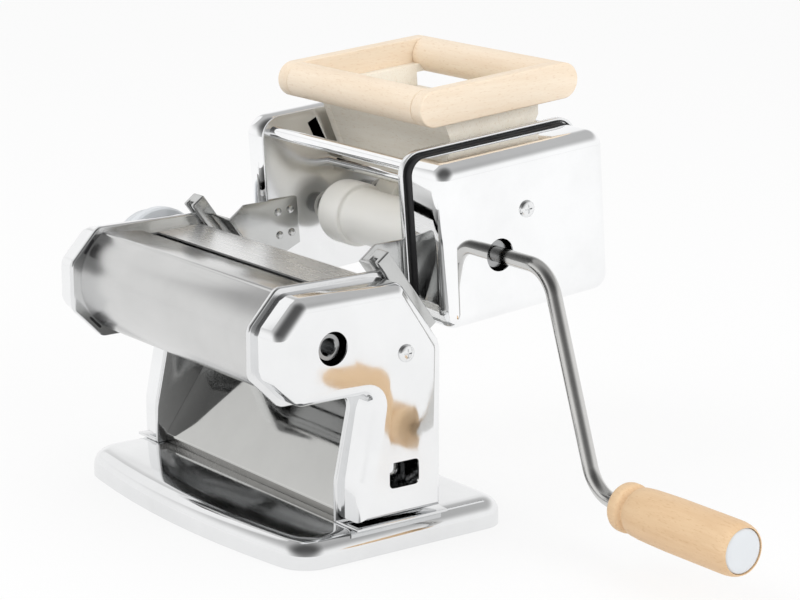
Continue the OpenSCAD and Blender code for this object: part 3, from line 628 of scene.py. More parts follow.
class Finishes:
    """Every finish on the machine, made once."""

    def __init__(self) -> None:
        """Build the materials."""
        bright = (0.965, 0.97, 0.975)
        self.chrome = Metal("mirror_chrome", bright, (0.91, 0.915, 0.92), (0.02, 0.05)).make()
        self.cover = Metal("cover_chrome", (0.90, 0.905, 0.91), (0.85, 0.855, 0.86), (0.06, 0.10)).make()
        self.base = Metal("base_chrome", (0.84, 0.845, 0.85), (0.79, 0.795, 0.80), (0.06, 0.10)).make()
        self.inner = Metal("inner_plate", (0.80, 0.805, 0.81), (0.73, 0.735, 0.74), (0.08, 0.16)).make()
        self.sheet = Metal("chute_sheet", (0.60, 0.60, 0.585), (0.56, 0.56, 0.545), (0.04, 0.09)).make()
        self.drum = Metal(
            "satin_drum", (0.66, 0.66, 0.655), (0.60, 0.60, 0.595), (0.19, 0.25), (0.15, 6.0, 6.0), 0.012
        ).make()
        self.deck = Metal(
            "satin_deck",
            (0.88, 0.88, 0.875),
            (0.86, 0.86, 0.855),
            (0.26, 0.29),
            brush=(0.15, 6.0, 6.0),
            wave=0.004,
            metallic=0.8,
        ).make()
        self.plate = Metal("plate_steel", (0.88, 0.885, 0.89), (0.80, 0.805, 0.81), (0.13, 0.22)).make()
        # Darker than polished steel: partly the steel's own tone, and partly painted shade in and round
        # the crank socket.
        self.steel = Metal(
            "roller_steel_painted_shade", (0.42, 0.425, 0.43), (0.35, 0.355, 0.36), (0.18, 0.28), (6.0, 0.4, 0.4), 0.02
        ).make()
        self.zinc = Metal("zinc_arm", (0.62, 0.625, 0.62), (0.52, 0.525, 0.52), (0.16, 0.24)).make()
        self.rod = Metal("rod_steel", (0.66, 0.655, 0.64), (0.56, 0.555, 0.545), (0.14, 0.22)).make()
        self.oiled = Metal("oiled_steel", (0.30, 0.295, 0.28), (0.22, 0.215, 0.205), (0.25, 0.35)).make()
        self.bronze = Metal("bush_bronze", (0.72, 0.56, 0.34), (0.58, 0.43, 0.25), (0.25, 0.4)).make()
        self.beech = self.wood("frame_beech", Grain.ALONG_ROLLERS)
        self.rail = self.wood("rail_beech", Grain.FRONT_TO_REAR)
        self.grip = Wood(
            "grip_beech",
            (0.80, 0.58, 0.36),
            (0.75, 0.52, 0.31),
            (0.68, 0.45, 0.25),
            Grain.ALONG_ROLLERS,
        ).make()
        self.board = Wood(
            "hopper_board",
            (0.94, 0.90, 0.81),
            (0.91, 0.86, 0.76),
            (0.86, 0.80, 0.69),
            Grain.ALONG_ROLLERS,
        ).make()
        self.white = Plastic(
            "white_roller", (0.97, 0.965, 0.93), (0.94, 0.935, 0.89), (0.30, 0.42)
        ).make()
        self.pale = Plastic("pale_knob", (0.70, 0.725, 0.75), (0.66, 0.685, 0.71), (0.26, 0.36)).make()
        # Near-black that paints the shade in the gap round the gear case, on its seal, and inside the
        # drum's tab slots.
        self.shade_black = Plastic(
            "black_seal", (0.020, 0.020, 0.022), (0.012, 0.012, 0.013), (0.45, 0.6)
        ).make()

    @staticmethod
    def wood(name: str, grain: Grain) -> bpy.types.Material:
        """Give the hopper frame's beech along one direction."""
        return Wood(name, (0.90, 0.78, 0.63), (0.87, 0.73, 0.57), (0.82, 0.66, 0.49), grain).make()


@dataclass
class Assembly:
    """What every sub-assembly shares: its finishes and how a piece is handed over."""

    finishes: Finishes

    def hand_over(
        self,
        piece: bpy.types.Object,
        finish: bpy.types.Material,
        body: str,
        slot: str,
        nodes: Sequence[str],
    ) -> bpy.types.Object:
        """Give a piece its finish and its body, and let it stand for part nodes.

        Args:
            piece: The finished mesh.
            finish: Its material.
            body: The body that it rides on.
            slot: The record's slot for its finish; not used.
            nodes: Part nodes that it stands for.

        Returns:
            The same piece.
        """
        piece.data.materials.clear()
        piece.data.materials.append(finish)
        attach(piece, body)
        if nodes:
            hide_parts(*nodes)
        LOG.info("%s rides on %s", piece.name, body)
        return piece

    @staticmethod
    def screw(name: str, axis: Point, face: float, out: float) -> bpy.types.Object:
        """Make a domed cross-head screw that faces along X.

        Args:
            name: Name of the piece.
            axis: Place in (y, z).
            face: Place of the seat along X.
            out: 1 or -1, the way that the head looks.

        Returns:
            The screw's mesh.
        """
        shank = ((-5.0, 2.0), (0.0, 2.0))
        dome = ((0.0, 4.3), (0.35, 4.5), (0.9, 4.3), (1.4, 3.5), (1.7, 2.2), (1.8, 0.6))
        head = Bench.lathe(name, axis, [(face + out * x, r) for x, r in shank + dome], segments=48)
        for half in ((2.3, 0.4), (0.4, 2.3)):
            low = (min(face + out * 0.7, face + out * 2.5), axis[0] - half[0], axis[1] - half[1])
            high = (max(face + out * 0.7, face + out * 2.5), axis[0] + half[0], axis[1] + half[1])
            Bench.cut(head, Bench.block("cross", low, high))
        Bench.smooth(head)
        return head


@dataclass
class Cheeks(Assembly):
    """The two cheeks: inner plates, pressed covers and what is screwed to them."""

    inner: float = 83.0
    outer: float = 86.0
    face: float = 105.0
    base_top: float = 14.5
    head_low: float = 79.8
    top: float = 139.5
    front: float = -69.2
    rear: float = 37.0
    leg_front: float = -19.0
    crotch: float = -9.5
    crotch_r: float = 8.0
    lean_from: float = 36.0
    rim: float = 3.0
    edge_r: float = 7.0
    corner_cut: float = 3.2
    wall: float = 1.0
    brow: tuple[float, float] = (-52.8, 121.7)
    chin: tuple[float, float] = (-52.0, 96.9)
    nape: tuple[float, float] = (11.0, 104.0)
    foot_t: float = 1.5
    window_low: tuple[float, float] = (0.0, 33.4)
    window_high: tuple[float, float] = (18.0, 46.6)
    window_r: float = 2.5
    hole_r: float = 8.5
    crank_axis: tuple[float, float] = (-33.5, 110.5)
    screw_at: tuple[float, float] = (10.0, 101.5)

    def outline(
        self, name: str, inset: float, x_from: float, x_to: float, corner_cut: float
    ) -> bpy.types.Object:
        """Build the cheek's form: a chamfered head on a leaning leg.

        Args:
            name: Name of the piece.
            inset: Distance inside the plate's outline.
            x_from: One face along X.
            x_to: The other face along X.
            corner_cut: How far the rounding of a corner reaches along its sides.

        Returns:
            The closed form.
        """
        low = (min(x_from, x_to), self.front + inset, self.head_low + inset)
        high = (max(x_from, x_to), self.rear - inset, self.top - inset)
        form = Bench.block(name, low, high)
        for at, to in (
            ((self.front, self.brow[1]), (self.brow[0], self.top)),
            ((self.chin[0], self.head_low), (self.front, self.chin[1])),
            ((self.nape[0], self.top), (self.rear, self.nape[1])),
        ):
            run = Vector((to[0] - at[0], to[1] - at[1])).normalized()
            out = (-run.y, run.x)
            Bench.slice(
                form, (0.0, at[0] - inset * out[0], at[1] - inset * out[1]), (0.0, out[0], out[1])
            )
        split = self.crotch + inset
        Bench.slice(form, (0.0, split, 0.0), (0.0, 1.0, 0.0), keep=True)
        bottom = self.head_low + inset
        Bench.pull(
            form,
            lambda c, n: n.z < -0.9 and c.y > split and abs(c.z - bottom) < 0.1,
            (0.0, 0.0, self.lean_from - bottom),
        )
        Bench.shift(
            form,
            lambda c, n: abs(c.z - self.lean_from) < 0.1 and abs(c.y - split) < 0.1,
            (0.0, self.leg_front - self.crotch, 0.0),
        )
        Bench.pull(
            form,
            lambda c, n: n.z < -0.9 and abs(c.z - self.lean_from) < 0.1,
            (0.0, 0.0, self.base_top + inset - self.lean_from),
        )
        Bench.merge_flats(form)
        foot = self.base_top + inset + 0.1
        Bench.round_off(
            form,
            lambda a, b: abs(a.x - b.x) > 1.0
            and a.z > foot
            and not (abs(a.y - split) < 0.1 and abs(a.z - bottom) < 0.1),
            corner_cut,
            5,
        )
        Bench.round_off(
            form,
            lambda a, b: abs(a.y - split) < 0.1
            and abs(b.y - split) < 0.1
            and abs(a.z - bottom) < 0.1
            and abs(b.z - bottom) < 0.1,
            self.crotch_r,
            8,
        )
        return form

    def window(self, x_from: float, x_to: float) -> bpy.types.Object:
        """Give the cutter for the clamp window.

        Args:
            x_from: One end along X.
            x_to: The other end along X.

        Returns:
            The cutter.
        """
        tool = Bench.block("window", (x_from, *self.window_low), (x_to, *self.window_high))
        Bench.round_off(tool, lambda a, b: abs(a.x - b.x) > 1.0, self.window_r, 4)
        return tool

    def plate(self, side: int) -> None:
        """Build an inner plate with its foot flange.

        Args:
            side: 1 for the right cheek and -1 for the left one.
        """
        name = "right_inner_plate" if side > 0 else "left_inner_plate"
        plate = self.outline(
            name + "_skin", 0.0, side * self.inner, side * self.outer, self.corner_cut - 1.0
        )
        if side > 0:
            Bench.cut(plate, self.window(self.inner - 2.0, self.outer + 2.0))
        foot_x = sorted((side * (self.outer - 0.5), side * (self.face - 1.0)))
        foot = Bench.block(
            "foot",
            (foot_x[0], self.leg_front, self.base_top),
            (foot_x[1], self.rear, self.base_top + self.foot_t),
        )
        Bench.soften(plate, 0.9, 3)
        Bench.soften(foot, 0.5, 2)
        plate = Bench.join((plate, foot))
        Bench.smooth(plate)
        self.hand_over(plate, self.finishes.inner, "machine", "chrome", (name,))

    def cover(self, side: int) -> None:
        """Build a pressed cover, with the crank hole and the window on the right.

        Args:
            side: 1 for the right cheek and -1 for the left one.
        """
        name = "right_cover" if side > 0 else "left_cover"
        face = side * self.face
        cover = self.outline(name + "_skin", self.rim, side * self.outer, face, self.corner_cut)
        Bench.round_off(
            cover, lambda a, b: abs(a.x - face) < 0.1 and abs(b.x - face) < 0.1, self.edge_r, 7
        )
        Bench.open_faces(cover, lambda c, n: abs(c.x - side * self.outer) < 0.1 and abs(n.x) > 0.9)
        Bench.smooth(cover)
        Bench.thicken(cover, self.wall)
        if side > 0:
            hole = Bench.lathe(
                "hole", self.crank_axis, ((face - 4.0, self.hole_r), (face + 4.0, self.hole_r))
            )
            Bench.cut(cover, hole)
            Bench.cut(cover, self.window(face - 4.0, face + 4.0))
        Bench.shade(cover)
        self.hand_over(cover, self.finishes.cover, "machine", "chrome", (name,))

    def build(self) -> None:
        """Build both cheeks and the cover screws."""
        for side in (-1, 1):
            self.plate(side)
            self.cover(side)
        screws = [
            self.screw("cover_screws_skin", self.screw_at, side * self.face, side) for side in (-1, 1)
        ]
        self.hand_over(Bench.join(screws), self.finishes.plate, "machine", "steel", ("cover_screws",))


@dataclass
class Stand(Assembly):
    """The pressed base, and the drum and the chute between the cheeks."""

    half_w: float = 104.0
    front: float = -52.0
    rear: float = 77.0
    bulge: float = 10.0
    height: float = 14.5
    corner_r: float = 14.0
    edge_r: float = 9.0
    columns: int = 10
    base_wall: float = 1.2
    drum_wall: float = 1.0
    drum_axis: tuple[float, float] = (-33.5, 110.5)
    drum_r: float = 30.5
    drum_from: float = 121.0
    drum_to: float = 246.0
    half_gap: float = 82.9
    deck_end: tuple[float, float] = (-26.0, 134.4)
    tab_angles: tuple[float, float] = (142.5, 224.5)
    chute_toe: tuple[float, float] = (-13.5, 19.1)
    chute_end: tuple[float, float] = (31.4, 81.4)

    def base(self) -> None:
        """Build the base: a pan with a curved front and a rolled upper edge."""
        base = Bench.block(
            "base_plate_skin", (-self.half_w, self.front, 0.0), (self.half_w, self.rear, self.height)
        )
        Bench.pick(
            base,
            Spot.EDGE,
            lambda a, b: abs(a.y - self.front) < 0.1
            and abs(b.y - self.front) < 0.1
            and abs(a.x - b.x) > 1.0,
        )
        bpy.ops.mesh.subdivide(number_cuts=self.columns - 1)
        Bench.clear()
        for k in range(1, self.columns):
            x = -self.half_w + 2.0 * self.half_w * k / self.columns
            out = self.bulge * (1.0 - (x / self.half_w) ** 2)
            Bench.shift(
                base,
                lambda c, n, x=x: abs(c.x - x) < 0.1 and c.y < self.front + 0.1,
                (0.0, -out, 0.0),
            )
        Bench.round_off(
            base,
            lambda a, b: abs(a.z - b.z) > 1.0 and abs(abs(a.x) - self.half_w) < 0.1,
            self.corner_r,
            10,
        )
        Bench.round_off(
            base,
            lambda a, b: abs(a.z - self.height) < 0.1 and abs(b.z - self.height) < 0.1,
            self.edge_r,
            8,
        )
        Bench.open_faces(base, lambda c, n: c.z < 0.05)
        Bench.smooth(base)
        Bench.thicken(base, self.base_wall)
        Bench.shade(base)
        self.hand_over(base, self.finishes.base, "machine", "chrome", ("base_plate",))

    def drum(self) -> None:
        """Build the rolled front cover by spinning its upper edge round the front roller."""
        start = math.radians(self.drum_from)
        edge_at = (
            self.drum_axis[0] + self.drum_r * math.cos(start),
            self.drum_axis[1] + self.drum_r * math.sin(start),
        )
        low = (-self.half_gap, edge_at[0] - 0.5, edge_at[1] - 0.5)
        high = (self.half_gap, edge_at[0] + 0.5, edge_at[1] + 0.5)
        drum = Bench.block("front_cover_skin", low, high)
        Bench.pick(
            drum, Spot.VERTEX, lambda c, n: not (c.y > edge_at[0] and c.z > edge_at[1])
        )
        bpy.ops.mesh.delete(type="VERT")
        Bench.shift(drum, lambda c, n: True, (0.0, -0.5, -0.5))
        Bench.pick_all(drum)
        bpy.ops.mesh.spin(
            steps=64,
            angle=math.radians(self.drum_from - self.drum_to),
            center=(0.0, self.drum_axis[0] * MM, self.drum_axis[1] * MM),
            axis=(1.0, 0.0, 0.0),
        )
        Bench.clear()
        Bench.pick(
            drum,
            Spot.EDGE,
            lambda a, b: all(
                abs(c.y - edge_at[0]) < 0.05 and abs(c.z - edge_at[1]) < 0.05 for c in (a, b)
            ),
        )
        bpy.ops.mesh.extrude_region_move(
            TRANSFORM_OT_translate={
                "value": (
                    0.0,
                    (self.deck_end[0] - edge_at[0]) * MM,
                    (self.deck_end[1] - edge_at[1]) * MM,
                )
            }
        )
        Bench.round_off(
            drum,
            lambda a, b: all(
                abs(c.y - edge_at[0]) < 0.05 and abs(c.z - edge_at[1]) < 0.05 for c in (a, b)
            ),
            1.0,
            3,
        )
        Bench.smooth(drum)
        Bench.thicken(drum, self.drum_wall)
        Bench.soften(drum, 0.35, 2, 60.0)
        Bench.shade(drum)
        self.hand_over(drum, self.finishes.drum, "machine", "chrome", ("front_cover",))

    def tab_slot_shade(self) -> None:
        """Paint the shade inside the plates' slots that take the drum's tabs, with thin near-black
        blocks.
        """
        slots = []
        for side in (-1, 1):
            near, far = sorted((side * (self.half_gap - 0.25), side * (self.half_gap + 0.35)))
            for angle in self.tab_angles:
                # Each near-black block paints the shade inside one slot.
                slot = Bench.block(
                    "tab_slot_shade", (near, self.drum_r + 0.4, -4.5), (far, self.drum_r + 1.8, 4.5)
                )
                Bench.round_off(slot, lambda a, b: abs(a.x - b.x) > 0.3, 0.6, 2)
                Bench.turn(slot, angle, self.drum_axis)
                slots.append(slot)
        piece = Bench.join(slots)
        Bench.smooth(piece)
        self.hand_over(piece, self.finishes.shade_black, "machine", "black_seal", ())

    def chute(self) -> None:
        """Build the sloping sheet under the rollers, and the hem that it stands on, whose dark oiled
        finish paints the shade under the sheet.
        """
        y, z = self.chute_toe
        low = (-self.half_gap, y, z - 1.0)
        high = (self.half_gap, y + 1.0, z)
        sheet = Bench.block("chute_skin", low, high)
        Bench.pull(
            sheet,
            lambda c, n: n.z > 0.9 and abs(c.z - z) < 0.1,
            (0.0, self.chute_end[0] - y, self.chute_end[1] - z),
        )
        Bench.round_off(
            sheet,
            lambda a, b: abs(a.x - b.x) > 1.0 and abs(a.z - z) < 0.05 and abs(b.z - z) < 0.05,
            0.4,
            3,
        )
        Bench.smooth(sheet)
        self.hand_over(sheet, self.finishes.sheet, "machine", "chrome", ("chute",))
        # The hem's dark finish is painted shade under the sheet's lip.
        hem = Bench.block(
            "chute_hem_painted_shade", (-self.half_gap, y, self.height), (self.half_gap, y + 1.6, z - 0.8)
        )
        Bench.soften(hem, 0.3, 2)
        Bench.smooth(hem)
        self.hand_over(hem, self.finishes.oiled, "machine", "chrome", ())

    def build(self) -> None:
        """Build the base, the drum, the painted shade in the slots that hold it, and the chute."""
        self.base()
        self.drum()
        self.tab_slot_shade()
        self.chute()


@dataclass
class Rollers(Assembly):
    """The two smooth rollers and the thickness regulator's knob."""

    front_axis: tuple[float, float] = (-33.5, 110.5)
    rear_axis: tuple[float, float] = (0.842, 114.717)
    barrel: float = 82.4
    radius: float = 16.0
    journal: float = 6.0
    left_end: float = -88.0
    right_end: float = 94.1
    edge: float = 0.6
    hub_r: float = 7.0
    hub_end: float = 100.9
    socket_r: float = 4.1
    socket_floor: float = 82.9
    scallops: int = 12
    scallop_r: float = 4.0
    knob_x: float = -107.4
    knob_r: float = 24.5

    def shaft(self) -> tuple[tuple[float, float], ...]:
        """Give the stations of a roller: its journals and its barrel with eased ends.

        Returns:
            Places along X and their radii.
        """
        end, edge = self.barrel, self.edge
        return (
            (self.left_end, self.journal), (-end, self.journal), (-end, self.radius - edge),
            (-end + edge, self.radius), (end - edge, self.radius), (end, self.radius - edge),
            (end, self.journal), (self.right_end, self.journal),
        )

    def front_roller(self) -> None:
        """Turn the front roller, with the crank socket in its right end."""
        socket = (
            (self.right_end, self.hub_r), (self.hub_end - 0.5, self.hub_r),
            (self.hub_end, self.hub_r - 0.5), (self.hub_end, self.socket_r + 0.5),
            (self.hub_end - 0.5, self.socket_r), (self.socket_floor, self.socket_r),
            (self.socket_floor, 0.5),
        )
        rings = self.shaft() + socket
        roller = Bench.lathe("front_roller_skin", self.front_axis, rings, segments=128)
        Bench.smooth(roller)
        self.hand_over(roller, self.finishes.steel, "front_roller_body", "steel", ("front_roller",))

    def rear_roller(self) -> None:
        """Turn the rear roller."""
        roller = Bench.lathe("rear_roller_skin", self.rear_axis, self.shaft(), segments=128)
        Bench.smooth(roller)
        self.hand_over(roller, self.finishes.steel, "rear_roller_body", "steel", ("rear_roller",))

    def knob(self) -> None:
        """Turn the knob and cut its finger scallops."""
        x = self.knob_x
        grip_r = self.knob_r - 3.5
        rings = (
            (x, 20.0), (x, self.knob_r - 1.0), (x - 1.0, self.knob_r), (x - 5.0, self.knob_r),
            (x - 6.0, self.knob_r - 1.0), (x - 6.5, grip_r), (x - 16.0, grip_r),
            (x - 17.4, grip_r - 0.8), (x - 18.0, grip_r - 2.5), (x - 18.0, 12.0), (x - 17.0, 11.0),
            (x - 17.0, 1.0),
        )
        knob = Bench.lathe("regulator_knob_skin", self.rear_axis, rings, segments=144)
        tools = []
        for k in range(self.scallops):
            a = math.radians(360.0 / self.scallops * k)
            at = (
                self.rear_axis[0] + (grip_r + 2.0) * math.cos(a),
                self.rear_axis[1] + (grip_r + 2.0) * math.sin(a),
            )
            reach = ((x - 6.5, self.scallop_r), (x - 20.0, self.scallop_r))
            tools.append(Bench.lathe("scallop", at, reach, segments=32))
        Bench.cut(knob, Bench.join(tools))
        Bench.soften(knob, 0.4, 2, 45.0)
        Bench.smooth(knob)
        self.hand_over(knob, self.finishes.pale, "regulator", "white_plastic", ("regulator_knob",))

    def build(self) -> None:
        """Build both rollers and the knob."""
        self.front_roller()
        self.rear_roller()
        self.knob()


@dataclass
class Attachment(Assembly):
    """The dumpling attachment: plates, covers, arms, bars and mould rollers, in its own tilted frame."""

    pivot: tuple[float, float] = (80.5, 138.3)
    tilt: float = 4.5
    left: float = -63.5
    right: float = 58.5
    front: float = -38.0
    rear: float = 76.5
    low: float = -37.0
    top: float = 55.0
    corner_r: float = 12.0
    sheet: float = 1.6
    inset: float = 3.0
    edge_r: float = 8.0
    left_inset: float = 0.4
    left_edge_r: float = 5.0
    left_depth: float = 17.0
    chamfer_at: tuple[float, float] = (11.0, 139.5)
    chamfer_angle: float = -53.78
    pitch: float = 37.0
    front_rest: tuple[float, float] = (6.22, 24.51)
    rear_rest: tuple[float, float] = (36.64, 22.13)
    mould_left: float = -51.5
    mould_right: float = 56.5
    mould_r: float = 15.0
    cap_w: float = 22.0
    ribs: int = 20
    rib_r: float = 1.5
    rim_depth: float = 3.5
    pan_wall: float = 1.0
    gear_seat: float = 66.0
    gear_face: float = 90.0
    hole_r: float = 8.5
    screw_at: tuple[float, float] = (18.5, 20.4)
    bar_r: float = 3.3
    front_bar: tuple[float, float] = (-30.0, 46.9)
    rear_bar: tuple[float, float] = (68.5, 46.9)
    rivet_in: tuple[float, float] = (5.0, 13.0)
    rivet_rows: tuple[float, float] = (-10.0, 3.0)
    arm_corners: tuple[tuple[float, float], ...] = (
        (15.8, 138.1), (37.1, 109.0), (61.9, 120.2), (59.8, 146.1), (25.5, 145.2),
    )

    def place(self, piece: bpy.types.Object) -> bpy.types.Object:
        """Carry a piece from the attachment's own frame to its place."""
        Bench.turn(piece, self.tilt, self.pivot)
        return piece

    def sheet_form(self, name: str, inset: float, x_from: float, x_to: float) -> bpy.types.Object:
        """Build a rounded rectangle of the plates' outline.

        Args:
            name: Name of the piece.
            inset: Distance inside the plates' outline.
            x_from: One face along X.
            x_to: The other face along X.

        Returns:
            The closed form.
        """
        form = Bench.block(
            name,
            (min(x_from, x_to), self.front + inset, self.low + inset),
            (max(x_from, x_to), self.rear - inset, self.top - inset),
        )
        Bench.round_off(form, lambda a, b: abs(a.x - b.x) > 0.5, self.corner_r - inset, 12)
        return form

    def slot_cutter(self, x_from: float, x_to: float) -> bpy.types.Object:
        """Give the cutter for the slanted slot beside the hopper.

        Args:
            x_from: One end along X.
            x_to: The other end along X.

        Returns:
            The cutter.
        """
        tool = Bench.block("slot", (x_from, -3.0, 0.0), (x_to, 3.0, 18.0))
        Bench.turn(tool, 22.4, (1.6, 32.4))
        return tool

    def plates(self) -> None:
        """Build the two plates, the right one with its turned rim."""
        left = self.sheet_form("attach_left_plate_skin", 0.0, self.left - self.sheet, self.left)
        Bench.cut(left, self.slot_cutter(self.left - 4.0, self.left + 4.0))
        Bench.soften(left, 0.45, 2)
        Bench.smooth(left)
        self.hand_over(
            self.place(left), self.finishes.plate, "attachment", "chrome", ("attach_left_plate",)
        )
        rim = self.right + self.rim_depth
        right = self.sheet_form("attach_right_plate_skin", 0.0, self.right, rim)
        Bench.pick(right, Spot.FACE, lambda c, n: n.x > 0.9 and abs(c.x - rim) < 0.1)
        bpy.ops.mesh.inset(thickness=self.sheet * MM, depth=0.0)
        bpy.ops.mesh.extrude_region_move(
            TRANSFORM_OT_translate={"value": ((self.sheet - self.rim_depth) * MM, 0.0, 0.0)}
        )
        Bench.cut(right, self.slot_cutter(self.right - 2.0, self.right + 2.5))
        Bench.soften(right, 0.45, 2)
        Bench.smooth(right)
        self.hand_over(
            self.place(right), self.finishes.plate, "attachment", "chrome", ("attach_right_plate",)
        )

    def pan(
        self, name: str, seat: float, face: float, inset: float, edge_r: float
    ) -> bpy.types.Object:
        """Press a rounded pan from its seat to its face along X.

        Args:
            name: Name of the piece.
            seat: Place of the open side.
            face: Place of the closed side.
            inset: Distance inside the plates' outline.
            edge_r: Radius of the pressed edge.

        Returns:
            The pan's mesh.
        """
        pan = self.sheet_form(name, inset, seat, face)
        Bench.round_off(
            pan, lambda a, b: abs(a.x - face) < 0.1 and abs(b.x - face) < 0.1, edge_r, 9
        )
        Bench.open_faces(pan, lambda c, n: abs(c.x - seat) < 0.1 and abs(n.x) > 0.9)
        Bench.smooth(pan)
        Bench.thicken(pan, self.pan_wall)
        return pan

    def covers(self) -> None:
        """Build the gear cover with its crank hole, and the plain left cover."""
        face = self.gear_face
        cover = self.pan("gear_cover_skin", self.gear_seat, face, self.inset, self.edge_r)
        hole = Bench.lathe(
            "hole", (0.0, 0.0), ((face - 4.0, self.hole_r), (face + 4.0, self.hole_r))
        )
        Bench.cut(cover, hole)
        Bench.shade(cover)
        self.hand_over(
            self.place(cover), self.finishes.chrome, "attachment", "chrome", ("gear_cover",)
        )
        seat = self.left - self.sheet
        left = self.pan(
            "attach_left_cover_skin", seat, seat - self.left_depth, self.left_inset, self.left_edge_r
        )
        self.hand_over(
            self.place(left), self.finishes.chrome, "attachment", "chrome", ("attach_left_cover",)
        )
        screw = self.screw("gear_cover_screw_skin", self.screw_at, face, 1.0)
        self.hand_over(
            self.place(screw), self.finishes.plate, "attachment", "steel", ("gear_cover_screw",)
        )

    def arm(self, side: int) -> None:
        """Build an arm: a channel on the rear chamfer, a web and an end plate.

        Args:
            side: 1 for the right arm and -1 for the left one.
        """
        name = "right_arm" if side > 0 else "left_arm"
        start = self.right - self.sheet if side > 0 else -self.left - self.sheet
        channel = Bench.block(name + "_skin", (79.6, -8.0, -2.6), (89.4, 42.0, 6.0))
        Bench.cut(channel, Bench.block("groove", (82.6, -10.0, -4.0), (86.4, 44.0, 0.4)))
        Bench.soften(channel, 0.8, 3)
        web = Bench.block("web", (start, 4.0, 3.0), (80.0, 40.0, 4.6))
        Bench.soften(web, 0.4, 2)
        lip = Bench.join((channel, web))
        Bench.turn(lip, self.chamfer_angle, self.chamfer_at)
        end = Bench.block("end", (start, 10.0, 104.0), (start + self.sheet, 66.0, 152.0))
        for k, at in enumerate(self.arm_corners):
            to = self.arm_corners[(k + 1) % len(self.arm_corners)]
            run = Vector((to[0] - at[0], to[1] - at[1])).normalized()
            Bench.slice(end, (0.0, at[0], at[1]), (0.0, run.y, -run.x))
        Bench.soften(end, 0.4, 2)
        arm = Bench.join((lip, end))
        if side < 0:
            Bench.hold(arm)
            arm.scale = (-1.0, 1.0, 1.0)
            bpy.ops.object.transform_apply(location=True, rotation=True, scale=True)
        Bench.smooth(arm)
        self.hand_over(arm, self.finishes.zinc, "attachment", "steel", (name,))

    def rivets(self) -> None:
        """Raise the domed rivets on both arms."""
        dome = ((0.0, 2.2), (-0.3, 2.1), (-0.6, 1.7), (-0.85, 1.0), (-0.9, 0.2))
        domes = []
        for side in (-1, 1):
            seat = self.right - self.sheet if side > 0 else self.left + self.sheet
            rings = [(seat + side * x, r) for x, r in dome]
            for y in self.rivet_in:
                for z in self.rivet_rows:
                    at = (self.front + y, z)
                    domes.append(Bench.lathe("arm_rivets_skin", at, rings, segments=32))
        rivets = Bench.join(domes)
        Bench.smooth(rivets, 60.0)
        self.hand_over(self.place(rivets), self.finishes.zinc, "attachment", "steel", ("arm_rivets",))

    def bars(self) -> None:
        """Turn the four cross bars."""
        bars = [
            Bench.lathe(
                "attach_tie_bars_skin",
                at,
                ((self.left, self.bar_r), (self.right, self.bar_r)),
                segments=64,
            )
            for at in (self.front_bar, self.rear_bar, self.front_rest, self.rear_rest)
        ]
        piece = Bench.join(bars)
        Bench.smooth(piece)
        self.hand_over(
            self.place(piece), self.finishes.chrome, "attachment", "chrome", ("attach_tie_bars",)
        )

    def moulds(self) -> None:
        """Turn the smooth front mould roller and the ribbed rear one."""
        left, right, body = self.mould_left, self.mould_right, self.mould_r
        end = left + self.cap_w
        rings = (
            (left, 6.0), (left, 10.5), (left + 0.25, 12.4), (left + 1.0, 13.9), (left + 2.1, 15.3),
            (left + 3.4, 16.3), (left + 5.0, 17.1), (left + 7.0, 17.5), (end - 1.5, 17.5),
            (end - 0.5, 17.2), (end, 16.6), (end, body + 0.7), (end + 0.7, body),
            (right - 5.6, body), (right - 5.0, body + 0.6),
            (right - 5.0, 17.0), (right - 4.5, 17.5), (right - 0.5, 17.5), (right, 17.0), (right, 6.0),
        )
        front = Bench.lathe("front_mould_roller_skin", (0.0, 0.0), rings)
        Bench.smooth(front)
        self.hand_over(
            self.place(front),
            self.finishes.white,
            "front_mould",
            "white_plastic",
            ("front_mould_roller",),
        )
        core = [(x, body - 0.8 if end <= x <= right - 5.0 and r < 16.0 else r) for x, r in rings]
        parts = [Bench.lathe("rear_mould_roller_skin", (self.pitch, 0.0), core)]
        crest = body - self.rib_r
        reach = ((end - 0.2, self.rib_r), (right - 4.8, self.rib_r))
        for k in range(self.ribs):
            a = math.radians(360.0 / self.ribs * k)
            at = (self.pitch + crest * math.cos(a), crest * math.sin(a))
            parts.append(Bench.lathe("rib", at, reach, segments=20))
        rear = Bench.join(parts)
        Bench.smooth(rear)
        self.hand_over(
            self.place(rear), self.finishes.white, "rear_mould", "white_plastic", ("rear_mould_roller",)
        )

    def build(self) -> None:
        """Build the whole attachment but its hopper."""
        self.plates()
        self.covers()
        for side in (-1, 1):
            self.arm(side)
        self.rivets()
        self.bars()
        self.moulds()


